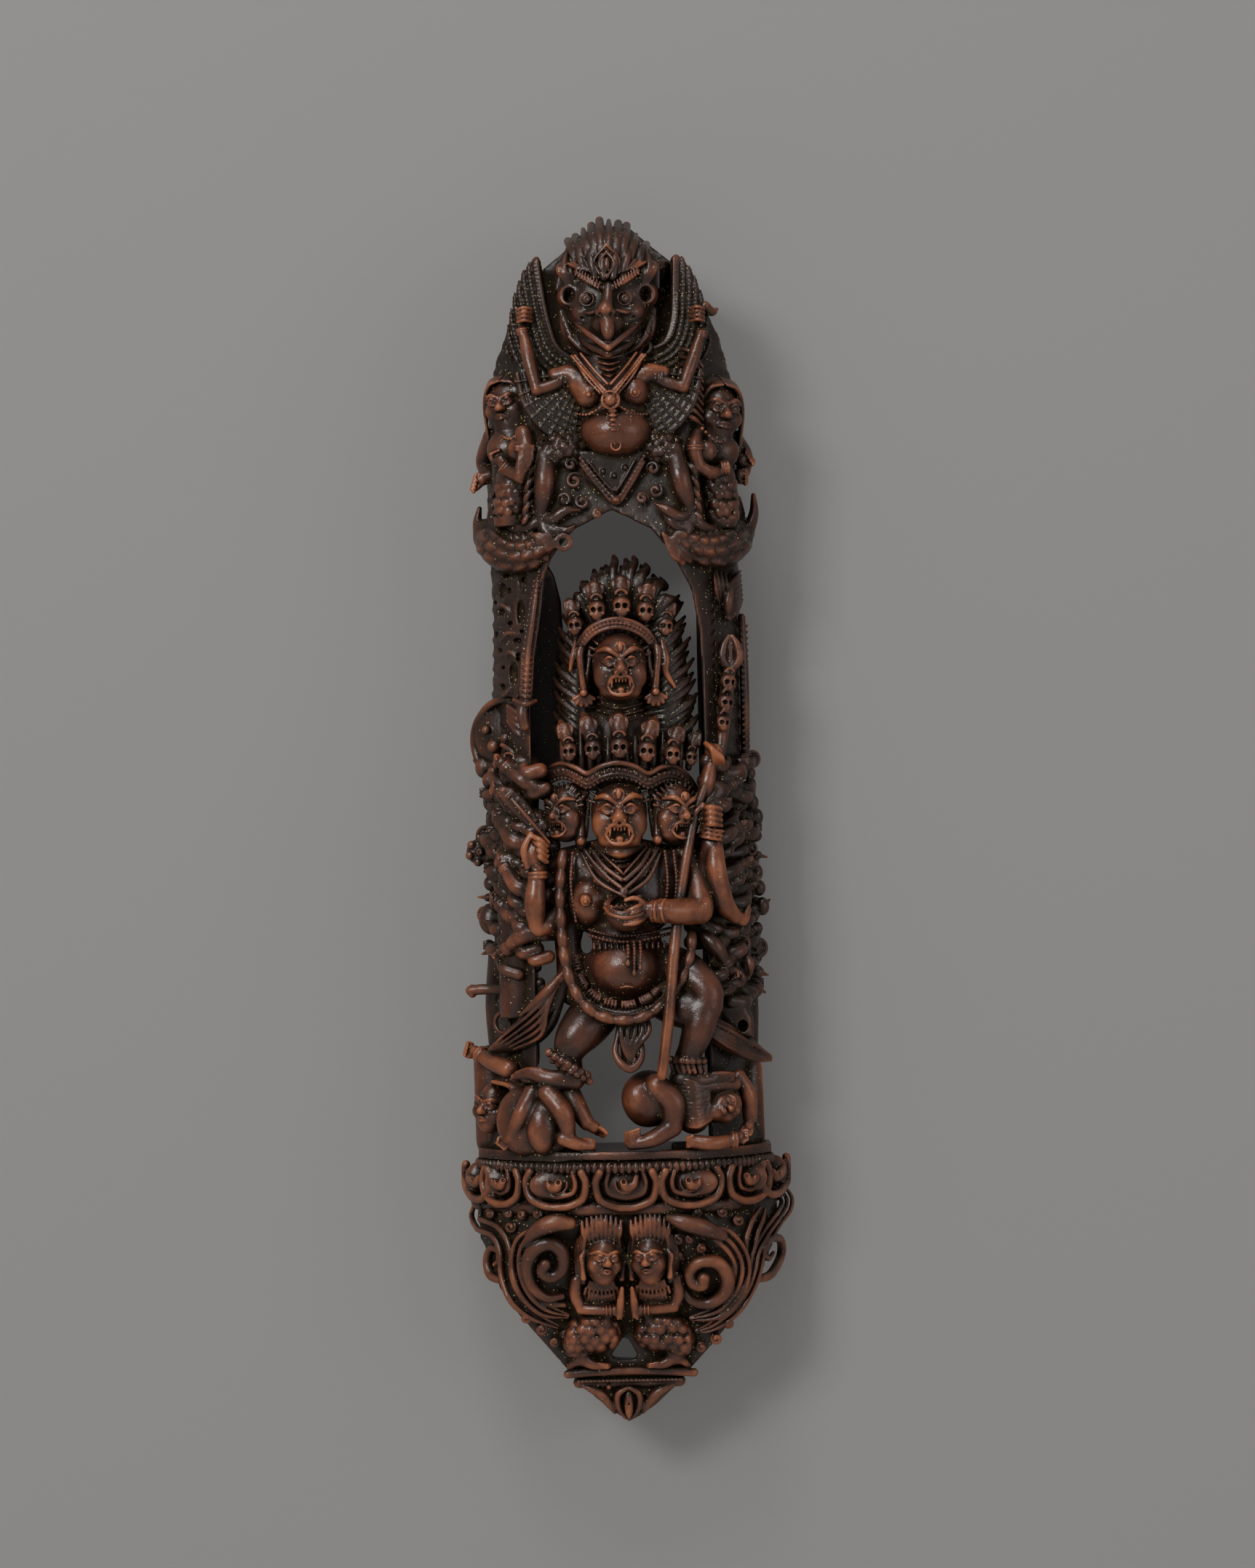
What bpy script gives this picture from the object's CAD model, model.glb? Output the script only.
"""Looks of the openwork deity plaque: its CAD nodes are replaced by their carved forms.

The carving is modelled as clay: signed distance fields in millimetres, at a design height of
220 mm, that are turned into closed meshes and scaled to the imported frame. X runs to the right,
Z up, and the carving faces -Y; the flat back lies in the plane Y = 0. In the functions that
sculpt, c is the clay, e is the side (-1 left, 1 right) and k is the width over which a shape
blends in; where k is negative the shape is cut away.
"""
import math
from collections import namedtuple
from concurrent.futures import ThreadPoolExecutor

import bpy
import numpy as np
import openvdb
from mathutils import Matrix, Vector


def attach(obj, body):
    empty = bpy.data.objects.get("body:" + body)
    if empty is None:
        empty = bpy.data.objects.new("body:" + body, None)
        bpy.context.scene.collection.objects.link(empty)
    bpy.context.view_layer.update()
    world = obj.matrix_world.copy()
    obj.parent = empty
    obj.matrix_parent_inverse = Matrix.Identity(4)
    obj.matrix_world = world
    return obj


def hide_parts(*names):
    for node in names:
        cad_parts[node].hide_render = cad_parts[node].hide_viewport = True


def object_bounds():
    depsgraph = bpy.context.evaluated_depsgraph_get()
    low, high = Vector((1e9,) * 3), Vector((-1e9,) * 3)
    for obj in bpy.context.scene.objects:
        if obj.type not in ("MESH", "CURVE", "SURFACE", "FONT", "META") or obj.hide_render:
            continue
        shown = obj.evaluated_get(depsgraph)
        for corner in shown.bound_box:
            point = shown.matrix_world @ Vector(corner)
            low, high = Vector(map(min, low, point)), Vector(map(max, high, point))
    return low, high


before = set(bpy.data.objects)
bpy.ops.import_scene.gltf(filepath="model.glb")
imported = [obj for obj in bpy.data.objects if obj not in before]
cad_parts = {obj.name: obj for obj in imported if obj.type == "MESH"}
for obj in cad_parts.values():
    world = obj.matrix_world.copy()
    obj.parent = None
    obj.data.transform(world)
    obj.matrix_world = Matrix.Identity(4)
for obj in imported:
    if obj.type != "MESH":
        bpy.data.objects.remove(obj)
cad_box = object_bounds()

DESIGN_H = 220.0  # height of the carving while it is modelled, in mm
MM = (cad_box[1][2] - cad_box[0][2]) / DESIGN_H  # metres for each of those mm
VOXEL = 0.25
THINNING = 0.04  # how far flat areas may be meshed with larger faces
FAR = 3.0  # the distance that stands for everything well outside the clay
MARGIN = 0.3  # room left round a shape, beyond its size and blend
FRONT_FADE = 1.5  # depth over which surface carving fades out behind its front
CURVE_STEPS = 8  # steps between the points of a long curve
SIDES = (-1, 1)
CURL_TURN = 396  # degrees that a curl winds through

# ---- driving dimensions of the carving (mm) ---------------------------------------------
AXIS_Y = -12.0
TUBE_R = 23.1
BASE_AXIS_Y = -6.0
BASE_R = 28.5
PLINTH_Z = -60.0
HALF_H = DESIGN_H / 2
FRONT_Y = -35.0
WALL = 3.8
CROWN_Z = 62.0  # above it the hood leans back
CROWN_LEAN = 0.28
BASE_LEAN = 0.38


def skin(x, z, lift):
    """Depth of the shell's outer surface at x, z, lifted outwards."""
    if z > PLINTH_Z:
        tube = AXIS_Y - math.sqrt(max(0.01, (TUBE_R + lift) ** 2 - x * x))
        return max(tube, FRONT_Y - lift + CROWN_LEAN * max(0.0, z - CROWN_Z))
    tube = BASE_AXIS_Y - math.sqrt(max(0.01, (BASE_R + lift) ** 2 - x * x))
    return max(tube, FRONT_Y - lift + (PLINTH_Z - z) * BASE_LEAN)


def on(x, z, lift=0.0):
    """A point on the shell's surface."""
    return (x, skin(x, z, lift), z)


def base_at(x, z, lift=0.0):
    """A point on the base's skin, which also serves the last millimetres above the plinth."""
    return (x, skin(x, min(z, PLINTH_Z - 0.01), lift), z)


# ---- clay ---------------------------------------------------------------------------------
def smooth(t):
    """Eases from 0 to 1 as t does."""
    t = np.clip(t, 0.0, 1.0)
    return t * t * (3.0 - 2.0 * t)


def spline(points, steps=6):
    """Catmull-Rom curve through the points; each may hold more than three numbers."""
    p = np.asarray(points, float)
    if len(p) < 3:
        t = np.linspace(0, 1, steps + 1)[:, None]
        return p[0] + (p[1] - p[0]) * t
    q = np.vstack([2 * p[0] - p[1], p, 2 * p[-1] - p[-2]])
    out = []
    for i in range(1, len(q) - 2):
        a, b, c, d = q[i - 1 : i + 3]
        for t in np.arange(steps) / steps:
            out.append(0.5 * (2 * b + (c - a) * t + (2 * a - 5 * b + 4 * c - d) * t * t
                              + (3 * b - a - 3 * c + d) * t ** 3))
    out.append(q[-2])
    return np.array(out)


def lengths(curve):
    """The length along a curve at each of its points."""
    return np.concatenate([[0], np.cumsum(np.linalg.norm(np.diff(curve, axis=0), axis=1))])


def at_length(curve, s, t):
    """The point at length t of a curve whose points lie at the lengths s."""
    return np.array([np.interp(t, s, curve[:, i]) for i in range(3)])


def turned(u, v, degrees):
    """The coordinates u, v in axes turned by some degrees."""
    s, co = math.sin(math.radians(degrees)), math.cos(math.radians(degrees))
    return u * co + v * s, v * co - u * s


def share(a, e, x, z):
    """How far along the line from a by e, from 0 to 1, the point nearest to x, z lies."""
    return np.clip(((x - a[0]) * e[0] + (z - a[1]) * e[1]) / max(e @ e, 1e-9), 0, 1)


class Clay:
    """A block of clay: a distance field over a box, negative inside."""

    def __init__(self, lo, hi, voxel):
        self.lo = np.array(lo, float) - 2 * voxel
        self.voxel = voxel
        self.n = np.ceil((np.array(hi, float) - self.lo) / voxel).astype(int) + 3
        self.d = np.full(self.n, FAR, np.float32)
        self.axes = [(self.lo[i] + voxel * np.arange(self.n[i])).astype(np.float32) for i in range(3)]

    def window(self, lo, hi):
        """The part of the block from lo to hi: its slices, X, Y and Z. None where they do not meet."""
        a = np.clip(np.floor((np.array(lo) - self.lo) / self.voxel).astype(int), 0, self.n)
        b = np.clip(np.ceil((np.array(hi) - self.lo) / self.voxel).astype(int) + 1, 0, self.n)
        if np.any(b <= a):
            return None
        cut = tuple(slice(a[i], b[i]) for i in range(3))
        x, y, z = (self.axes[i][cut[i]] for i in range(3))
        return cut, x[:, None, None], y[None, :, None], z[None, None, :]

    def mix(self, cut, f, k):
        """Joins (k > 0 blends), or with k < 0 cuts, the shape f into the clay."""
        d = self.d[cut]
        if k >= 0:
            if k == 0:
                self.d[cut] = np.minimum(d, f)
                return
            h = np.maximum(k - np.abs(d - f), 0) / k
            self.d[cut] = np.minimum(d, f) - h * h * k * 0.25
        else:
            k = -k
            h = np.maximum(k - np.abs(d + f), 0) / k
            self.d[cut] = np.maximum(d, -f) + h * h * k * 0.25

    def ball(self, c, r, k=0.6, turn=0.0, roll=0.0):
        """Ellipsoid with radii r, turned about Z and then rolled about Y (degrees)."""
        r = np.array([r] * 3 if np.isscalar(r) else r, float)
        m = r.max() + abs(k) + MARGIN
        w = self.window(np.array(c) - m, np.array(c) + m)
        if w is None:
            return
        cut, x, y, z = w
        x, y, z = x - c[0], y - c[1], z - c[2]
        if roll:
            x, z = turned(x, z, -roll)
        if turn:
            x, y = turned(x, y, turn)
        k0 = np.sqrt((x / r[0]) ** 2 + (y / r[1]) ** 2 + (z / r[2]) ** 2)
        k1 = np.sqrt((x / r[0] ** 2) ** 2 + (y / r[1] ** 2) ** 2 + (z / r[2] ** 2) ** 2)
        self.mix(cut, (k0 * (k0 - 1.0) / np.maximum(k1, 1e-4)).astype(np.float32), k)

    def tube(self, points, radii, k=0.5, steps=6, flat=1.0):
        """A tapering limb along a smooth curve; flat scales its depth."""
        p = np.asarray(points, float)
        r = np.full(len(p), float(radii)) if np.isscalar(radii) else np.interp(
            np.linspace(0, 1, len(p)), np.linspace(0, 1, len(radii)), radii)
        c = spline(np.column_stack([p, r]), steps) if len(p) > 2 else np.column_stack([p, r])
        m = c[:, 3].max() + abs(k) + MARGIN
        w = self.window(c[:, :3].min(0) - m, c[:, :3].max(0) + m)
        if w is None:
            return
        cut = w[0]
        f = np.full(self.d[cut].shape, FAR, np.float32)
        for a, b in zip(c[:-1], c[1:]):
            m = max(a[3], b[3]) + abs(k) + MARGIN
            ww = self.window(np.minimum(a[:3], b[:3]) - m, np.maximum(a[:3], b[:3]) + m)
            if ww is None:
                continue
            s, x, y, z = ww
            sub = tuple(slice(s[i].start - cut[i].start, s[i].stop - cut[i].start) for i in range(3))
            ab = b[:3] - a[:3]
            q = max(float(ab @ ab), 1e-6)
            t = np.clip(((x - a[0]) * ab[0] + (y - a[1]) * ab[1] + (z - a[2]) * ab[2]) / q, 0, 1)
            g = np.sqrt((x - a[0] - t * ab[0]) ** 2 + ((y - a[1] - t * ab[1]) / flat) ** 2
                        + (z - a[2] - t * ab[2]) ** 2) - (a[3] + t * (b[3] - a[3]))
            f[sub] = np.minimum(f[sub], g)
        self.mix(cut, f * min(1.0, flat * 1.3), k)

    def beads(self, points, r, n, k=0.15):
        """n balls evenly spaced along a smooth curve."""
        c = spline(points, CURVE_STEPS)
        s = lengths(c)
        for t in np.linspace(0, s[-1], n):
            self.ball(at_length(c, s, t), r, k)

    def ring(self, c, radius, r, k=0.4, turn=0.0, arc=(0, 360)):
        """Part of a torus that faces the front, turned about Z (degrees)."""
        n = max(8, int(abs(arc[1] - arc[0]) / 20))
        a = np.radians(np.linspace(arc[0], arc[1], n + 1))
        s, co = math.sin(math.radians(turn)), math.cos(math.radians(turn))
        u, v = radius * np.cos(a), radius * np.sin(a)
        self.tube(np.column_stack([c[0] + u * co, c[1] + u * s, c[2] + v]), r, k, steps=2)

    def slab(self, outline, y0, y1, k=0.4, edge=0.4):
        """An outline in X and Z, given depth from y0 to y1, with rounded edges."""
        p = np.asarray(outline, float)
        m = abs(k) + edge + MARGIN
        w = self.window([p[:, 0].min() - m, min(y0, y1) - m, p[:, 1].min() - m],
                        [p[:, 0].max() + m, max(y0, y1) + m, p[:, 1].max() + m])
        if w is None:
            return
        cut, x, y, z = w
        d2 = polygon_distance(p, x[:, :, 0], z[0])[:, None, :] + edge
        dy = np.abs(y - (y0 + y1) / 2) - abs(y1 - y0) / 2 + edge
        f = np.minimum(np.maximum(d2, dy), 0) + np.hypot(np.maximum(d2, 0), np.maximum(dy, 0)) - edge
        self.mix(cut, f.astype(np.float32), k)

    def emboss(self, lo, hi, height, front):
        """Raises what lies before front by height(x, z), in the window lo..hi of X and Z."""
        cut, x, y, z = self.window([lo[0], self.lo[1], lo[1]], [hi[0], self.axes[1][-1], hi[1]])
        h = height(x[:, 0], z[0])[:, None, :].astype(np.float32)
        self.d[cut] -= h * smooth((front - y) / FRONT_FADE)

    def mesh(self):
        """Points, triangles and quads of the surface; the block's outermost cells are emptied first."""
        lattice = openvdb.FloatGrid(FAR)
        self.d[[0, -1], :, :] = FAR
        self.d[:, [0, -1], :] = FAR
        self.d[:, :, [0, -1]] = FAR
        lattice.copyFromArray(np.ascontiguousarray(self.d), tolerance=0.0)
        lattice.transform = openvdb.createLinearTransform(voxelSize=self.voxel)
        points, triangles, quads = lattice.convertToPolygons(0.0, THINNING)
        return points + self.lo, triangles, quads


def polygon_distance(p, x, z):
    """Signed distance in the XZ plane to the closed polygon p, for x (n, 1) and z (1, m)."""
    q = np.roll(p, -1, 0)
    best = np.full(np.broadcast(x, z).shape, 1e9)
    inside = np.zeros(best.shape, bool)
    for a, b in zip(p, q):
        e = b - a
        t = share(a, e, x, z)
        best = np.minimum(best, (x - a[0] - t * e[0]) ** 2 + (z - a[1] - t * e[1]) ** 2)
        if a[1] != b[1]:
            crosses = ((a[1] <= z) != (b[1] <= z)) & (x < a[0] + (z - a[1]) * e[0] / e[1])
            inside ^= crosses
    return np.where(inside, -1.0, 1.0) * np.sqrt(best)


def along(points):
    """Returns f(x, z), which gives the distance to a smooth XZ curve, the length along it and the side."""
    c = spline(points, CURVE_STEPS)
    s = lengths(c)

    def f(x, z):
        best = np.full(np.broadcast(x, z).shape, 1e9)
        where = np.zeros(best.shape)
        side = np.zeros(best.shape)
        for i in range(len(c) - 1):
            a, e = c[i], c[i + 1] - c[i]
            t = share(a, e, x, z)
            u, v = x - a[0] - t * e[0], z - a[1] - t * e[1]
            g = u * u + v * v
            near = g < best
            best = np.where(near, g, best)
            where = np.where(near, s[i] + t * (s[i + 1] - s[i]), where)
            side = np.where(near, np.sign(e[0] * v - e[1] * u), side)
        return np.sqrt(best), where, side
    return f


# ---- pieces -------------------------------------------------------------------------------
Piece = namedtuple("Piece", "names lo hi tone voxel sculpt")
PIECES = []


def piece(nodes, lo, hi, tone=0.4, voxel=VOXEL):
    """Registers a sculpting function for one carved element that stands for CAD nodes."""
    def keep(sculpt):
        names = nodes if isinstance(nodes, (list, tuple)) else [nodes]
        PIECES.append(Piece(names, lo, hi, tone, voxel, sculpt))
        return sculpt
    return keep


def place(p, s, yaw, roll=0.0):
    """Returns P(u, v, w): right, forward and up in units of s from p, turned by yaw and roll."""
    cy, sy = math.cos(math.radians(yaw)), math.sin(math.radians(yaw))
    cr, sr = math.cos(math.radians(roll)), math.sin(math.radians(roll))

    def at(u, v, w):
        a, b = u * cr + w * sr, w * cr - u * sr
        return (p[0] + s * (a * cy + v * sy), p[1] + s * (a * sy - v * cy), p[2] + s * b)
    return at


def face(c, p, s, yaw=0.0, roll=0.0, fierce=True, ears=False, width=0.78):
    """A carved face of half height s. Fierce faces have raised brows, teeth and a third eye."""
    at = place(p, s, yaw, roll)
    c.ball(at(0, 0, 0), (width * s, 0.8 * s, 1.0 * s), 0.3, turn=yaw, roll=roll)
    c.ball(at(0, 0.3, -0.62), 0.4 * s, 0.25 * s)
    for e in SIDES:
        c.ball(at(0.4 * e, 0.42, -0.2), 0.3 * s, 0.2 * s)
        c.ball(at(0.32 * e, 0.86, 0.12), 0.2 * s, -0.12 * s)
        c.ball(at(0.32 * e, 0.64, 0.11), 0.19 * s, 0.02)
        rise = 0.2 if fierce else 0.05
        c.tube([at(0.62 * e, 0.45, 0.22 + rise), at(0.36 * e, 0.74, 0.34 + rise * 0.6),
                at(0.09 * e, 0.82, 0.28)], [0.06 * s, 0.1 * s, 0.07 * s], 0.06 * s)
        for h, d in ((0.13, 0.86), (-0.12, 0.82)):
            c.tube([at(0.13 * e, 0.78, 0.1), at(0.32 * e, d, 0.11 + h), at(0.53 * e, 0.62, 0.11)],
                   0.045 * s, 0.02)
        c.ball(at(0.14 * e, 0.83, -0.14), 0.1 * s, 0.08 * s)
        if ears:
            c.tube([at(0.76 * e, 0.05, 0.34), at(0.9 * e, 0.1, 0.1), at(0.84 * e, 0.12, -0.3),
                    at(0.8 * e, 0.1, -0.75)], [0.1 * s, 0.13 * s, 0.1 * s, 0.13 * s], 0.1)
            c.tube([at(0.86 * e, 0.24, 0.18), at(0.87 * e, 0.26, -0.2)], 0.05 * s, -0.05)
    c.tube([at(0, 0.74, 0.24), at(0, 0.95, -0.1)], [0.08 * s, 0.15 * s], 0.12 * s)
    if fierce:
        c.ball(at(0, 0.84, -0.46), (0.3 * s, 0.26 * s, 0.13 * s), -0.05, turn=yaw)
        c.tube([at(-0.32, 0.66, -0.45), at(-0.16, 0.84, -0.31), at(0, 0.88, -0.35),
                at(0.16, 0.84, -0.31), at(0.32, 0.66, -0.45)], 0.06 * s, 0.04)
        c.tube([at(-0.32, 0.66, -0.46), at(0, 0.84, -0.64), at(0.32, 0.66, -0.46)], 0.07 * s, 0.06)
        for u in (-0.19, -0.07, 0.07, 0.19):
            c.ball(at(u, 0.78, -0.41), 0.07 * s, 0.01)
        c.ball(at(0, 0.82, 0.52), (0.09 * s, 0.09 * s, 0.17 * s), 0.02, turn=yaw)
        c.ring(at(0, 0.8, 0.52), 0.14 * s, 0.035 * s, 0.03, turn=yaw)
    else:
        c.tube([at(-0.26, 0.68, -0.4), at(0, 0.86, -0.36), at(0.26, 0.68, -0.4)], 0.06 * s, 0.05)
        c.tube([at(-0.2, 0.7, -0.47), at(0, 0.82, -0.5), at(0.2, 0.7, -0.47)], 0.07 * s, 0.05)
        c.tube([at(-0.24, 0.9, -0.43), at(0, 0.98, -0.43), at(0.24, 0.9, -0.43)], 0.035 * s, -0.03)


def open_mouth(c, p, s, yaw=0.0, roll=0.0):
    """Broad cheeks, flared nostrils and an open mouth with fangs, for a face of half height s."""
    at = place(p, s, yaw, roll)
    for e in SIDES:
        c.ball(at(0.5 * e, 0.4, -0.35), (0.26 * s, 0.26 * s, 0.34 * s), 0.12 * s)
        c.ball(at(0.36 * e, 0.4, -0.72), (0.24 * s, 0.28 * s, 0.24 * s), 0.12 * s)
    c.ball(at(0, 0.49, -0.66), (0.48 * s, 0.35 * s, 0.35 * s), 0.1 * s, turn=yaw)
    c.ball(at(0, 0.89, -0.57), (0.31 * s, 0.28 * s, 0.2 * s), -0.04 * s, turn=yaw)
    lip = [(0.37, 0.72, -0.62), (0.29, 0.84, -0.4), (0.12, 0.92, -0.3)]
    upper = [(-u, v, w) for u, v, w in lip] + [(0, 0.89, -0.35)] + lip[::-1]
    c.tube([at(*q) for q in upper], [0.05 * s, 0.06 * s, 0.06 * s, 0.05 * s], 0.03 * s)
    lower = ((-0.37, 0.72, -0.62), (-0.25, 0.84, -0.8), (0, 0.89, -0.86), (0.25, 0.84, -0.8),
             (0.37, 0.72, -0.62))
    c.tube([at(*q) for q in lower], [0.05 * s, 0.06 * s, 0.05 * s], 0.04 * s)
    c.ball(at(0, 0.8, -0.72), (0.12 * s, 0.13 * s, 0.1 * s), 0.03 * s)
    for u in (-0.14, -0.05, 0.05, 0.14):
        c.tube([at(u, 0.85, -0.37), at(u, 0.87, -0.47)], [0.04 * s, 0.03 * s], 0.005 * s)
    for e in SIDES:
        c.tube([at(0.25 * e, 0.83, -0.4), at(0.27 * e, 0.85, -0.64)], [0.05 * s, 0.02 * s], 0.006 * s)
        c.ball(at(0.108 * e, 0.95, -0.22), (0.095 * s, 0.092 * s, 0.077 * s), 0.023 * s)
        c.ball(at(0.095 * e, 1.03, -0.24), 0.037 * s, -0.008 * s)


def hairline(c, p, s, yaw):
    """Short locks combed back over a forehead."""
    at = place(p, s, yaw)
    for a in np.radians(np.linspace(5, 175, 13)):
        u, w = 0.95 * math.cos(a), math.sin(a)
        c.tube([at(0.68 * u, 0.34, 0.18 + 0.66 * w), at(0.86 * u, 0.26, 0.2 + 0.86 * w)], 0.05 * s,
               0.01 * s)


def skull(c, p, s, yaw, roll):
    """A small skull of half height s, with a rim arched over its crown."""
    at = place(p, s, yaw, roll)
    c.ball(at(0, 0, 0.12), (0.86 * s, 0.8 * s, 0.86 * s), 0.2)
    c.ball(at(0, 0.3, -0.55), (0.55 * s, 0.5 * s, 0.5 * s), 0.25 * s)
    for e in SIDES:
        c.tube([at(0.35 * e, 1.1, 0.06), at(0.31 * e, 0.4, 0.04)], 0.23 * s, -0.03)
        c.ball(at(0.55 * e, 0.5, -0.35), 0.2 * s, 0.1)
    c.tube([at(0, 0.95, -0.2), at(0, 0.95, -0.42)], 0.11 * s, -0.04)
    c.tube([at(-0.4, 0.8, -0.72), at(0, 0.95, -0.72), at(0.4, 0.8, -0.72)], 0.06 * s, -0.03)
    for u in (-0.24, 0, 0.24):
        c.tube([at(u, 0.95, -0.6), at(u, 0.95, -0.86)], 0.045 * s, -0.02)
    c.ring(at(0, 0.35, 0.95), 0.5 * s, 0.16 * s, 0.05, turn=yaw, arc=(20, 160))


def hand(c, wrist, toward, curl, spread, s=1.0, curled=1.0):
    """A hand: palm past the wrist, four fingers along toward that bend to curl, a thumb."""
    w, t, b, a = (np.array(v, float) for v in (wrist, toward, curl, spread))
    t, b, a = (v / np.linalg.norm(v) for v in (t, b, a))
    palm = w + t * 1.3 * s
    c.ball(palm, 1.25 * s, 0.5 * s)
    for i in range(4):
        off = a * (i - 1.5) * 0.72 * s
        k0 = palm + off + t * 0.9 * s
        k1 = k0 + t * (1.2 - 0.5 * curled) * s + b * 0.5 * curled * s
        k2 = k1 + t * (1.0 - 1.5 * curled) * s + b * 0.9 * curled * s
        c.tube([k0, k1, k2], [0.42 * s, 0.42 * s, 0.32 * s], 0.06, steps=4)
    c.tube([palm - a * 1.0 * s, palm - a * 1.35 * s + t * 0.8 * s + b * 0.5 * s,
            palm - a * 0.9 * s + t * 1.5 * s + b * 0.9 * s], [0.5 * s, 0.45 * s, 0.34 * s], 0.1,
           steps=4)


def bracelet(c, p, direction, r, n=2, bead=0.36):
    """n rings round a limb at p, the outer ones beaded."""
    d = np.array(direction, float)
    d /= np.linalg.norm(d)
    u = np.cross(d, (0.0, 1.0, 0.0))
    u /= np.linalg.norm(u)
    v = np.cross(d, u)
    for i in range(n):
        o = np.array(p, float) + d * (i - (n - 1) / 2) * bead * 2.1
        turns = [o + (u * math.cos(a) + v * math.sin(a)) * r for a in np.linspace(0, 2 * math.pi, 13)]
        c.tube(turns, bead, 0.05, steps=2)


def scales(curve, width, pitch, height):
    """Overlapping scales along an XZ curve."""
    f = along(curve)

    def h(x, z):
        d, s, side = f(x, z)
        row = np.floor(d * side / pitch)
        u = np.mod(s / pitch + 0.5 * np.mod(row, 2), 1.0)
        v = np.mod(d * side / pitch, 1.0) - 0.5
        bump = np.clip(1.0 - np.sqrt((u - 0.35) ** 2 * 1.6 + v * v * 3.2), 0, 1)
        return height * bump * smooth((width - d) / 0.5)
    return h


def pebbles(lo, hi, pitch, height, seed=1):
    """A packed field of rounded scales or curls of uneven size."""
    border = 0.8
    rng = np.random.default_rng(seed)
    gx = np.arange(lo[0], hi[0] + pitch, pitch)
    gz = np.arange(lo[1], hi[1] + pitch, pitch * 0.9)
    seeds = [(x + (pitch / 2) * (j % 2) + rng.uniform(-0.2, 0.2) * pitch,
              z + rng.uniform(-0.2, 0.2) * pitch) for j, z in enumerate(gz) for x in gx]

    def h(x, z):
        near = np.full(np.broadcast(x, z).shape, 9.0)
        for sx, sz in seeds:
            near = np.minimum(near, np.hypot(x - sx, z - sz))
        fade = smooth((x - lo[0]) / border) * smooth((hi[0] - x) / border)
        fade = fade * smooth((z - lo[1]) / border) * smooth((hi[1] - z) / border)
        return height * (np.sqrt(np.clip(1 - (near / (0.62 * pitch)) ** 2, 0, 1)) - 0.5) * fade
    return h


# ---- shell --------------------------------------------------------------------------------
SHELL_LEFT = [(0, 109), (-6, 105.5), (-9, 103), (-12, 100.5), (-15, 98.2), (-17.2, 93), (-19, 87.5),
              (-20.6, 84), (-21.4, 80), (-22.2, 74), (-22.8, 66), (-22.6, 58), (-22.3, 48), (-22, 38),
              (-22.2, 28), (-22.8, 18), (-23, 8), (-23.4, -10), (-23.6, -30), (-24, -46), (-25.5, -58),
              (-26.8, -66), (-27, -72), (-25.5, -79), (-23, -84.5), (-19.5, -89.5), (-15, -95),
              (-11, -100), (-6, -104.5), (-2.5, -108), (0, -109.6)]
SHELL_RIGHT = [(2.5, -108), (6, -104.8), (11.5, -100), (15.5, -95.5), (20, -90), (23.5, -85),
               (26.5, -79), (28.6, -72), (28, -66), (26.4, -58), (24.8, -46), (24.2, -30), (24, -10),
               (24, 8), (23.8, 18), (23.4, 30), (23.2, 40), (23.2, 50), (23.4, 60), (23.3, 68),
               (22.8, 76), (22, 81), (20, 88), (17.5, 93), (15.6, 99), (12.5, 101), (8, 104.8),
               (4.5, 108)]
OUTLINE = SHELL_LEFT + SHELL_RIGHT


def curl(c, x, z, r, start, sense, thick, lift, where):
    """A spiral that lies on the surface and winds inwards from its tail."""
    pts = []
    for t in np.linspace(0, 1, 13):
        a = math.radians(start + sense * CURL_TURN * t)
        rr = r * (1 - 0.72 * t)
        pts.append(where(x + rr * math.cos(a), z + rr * math.sin(a), lift + 0.5 * t))
    c.tube(pts, [0.55 * thick, thick, thick, 1.1 * thick], 0.12, steps=3)


def band(c, points, width, ridges=3):
    """A carved frond: parallel ridges along points (x, z, lift), tapering to both ends."""
    path = spline([np.array(p, float) for p in points], 5)
    way = np.gradient(path, axis=0)
    n = np.stack([-way[:, 1], way[:, 0]], 1)
    n /= np.maximum(np.linalg.norm(n, axis=1, keepdims=True), 1e-6)
    t = np.linspace(0, 1, len(path))
    taper = np.minimum(1, 0.25 + 3.2 * np.minimum(t + 0.1, 1 - t))
    for j in range(ridges):
        o = (j - (ridges - 1) / 2) / max(ridges - 1, 1)
        pts = [base_at(p[0] + o * width * k * m[0], p[1] + o * width * k * m[1], p[2] - 0.8 * o * o)
               for p, m, k in zip(path, n, taper)]
        c.tube(pts[::2] + [pts[-1]], [0.5 * width / ridges * 1.15 * k for k in taper[::2]] + [0.2], 0.1,
               steps=2)


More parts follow.
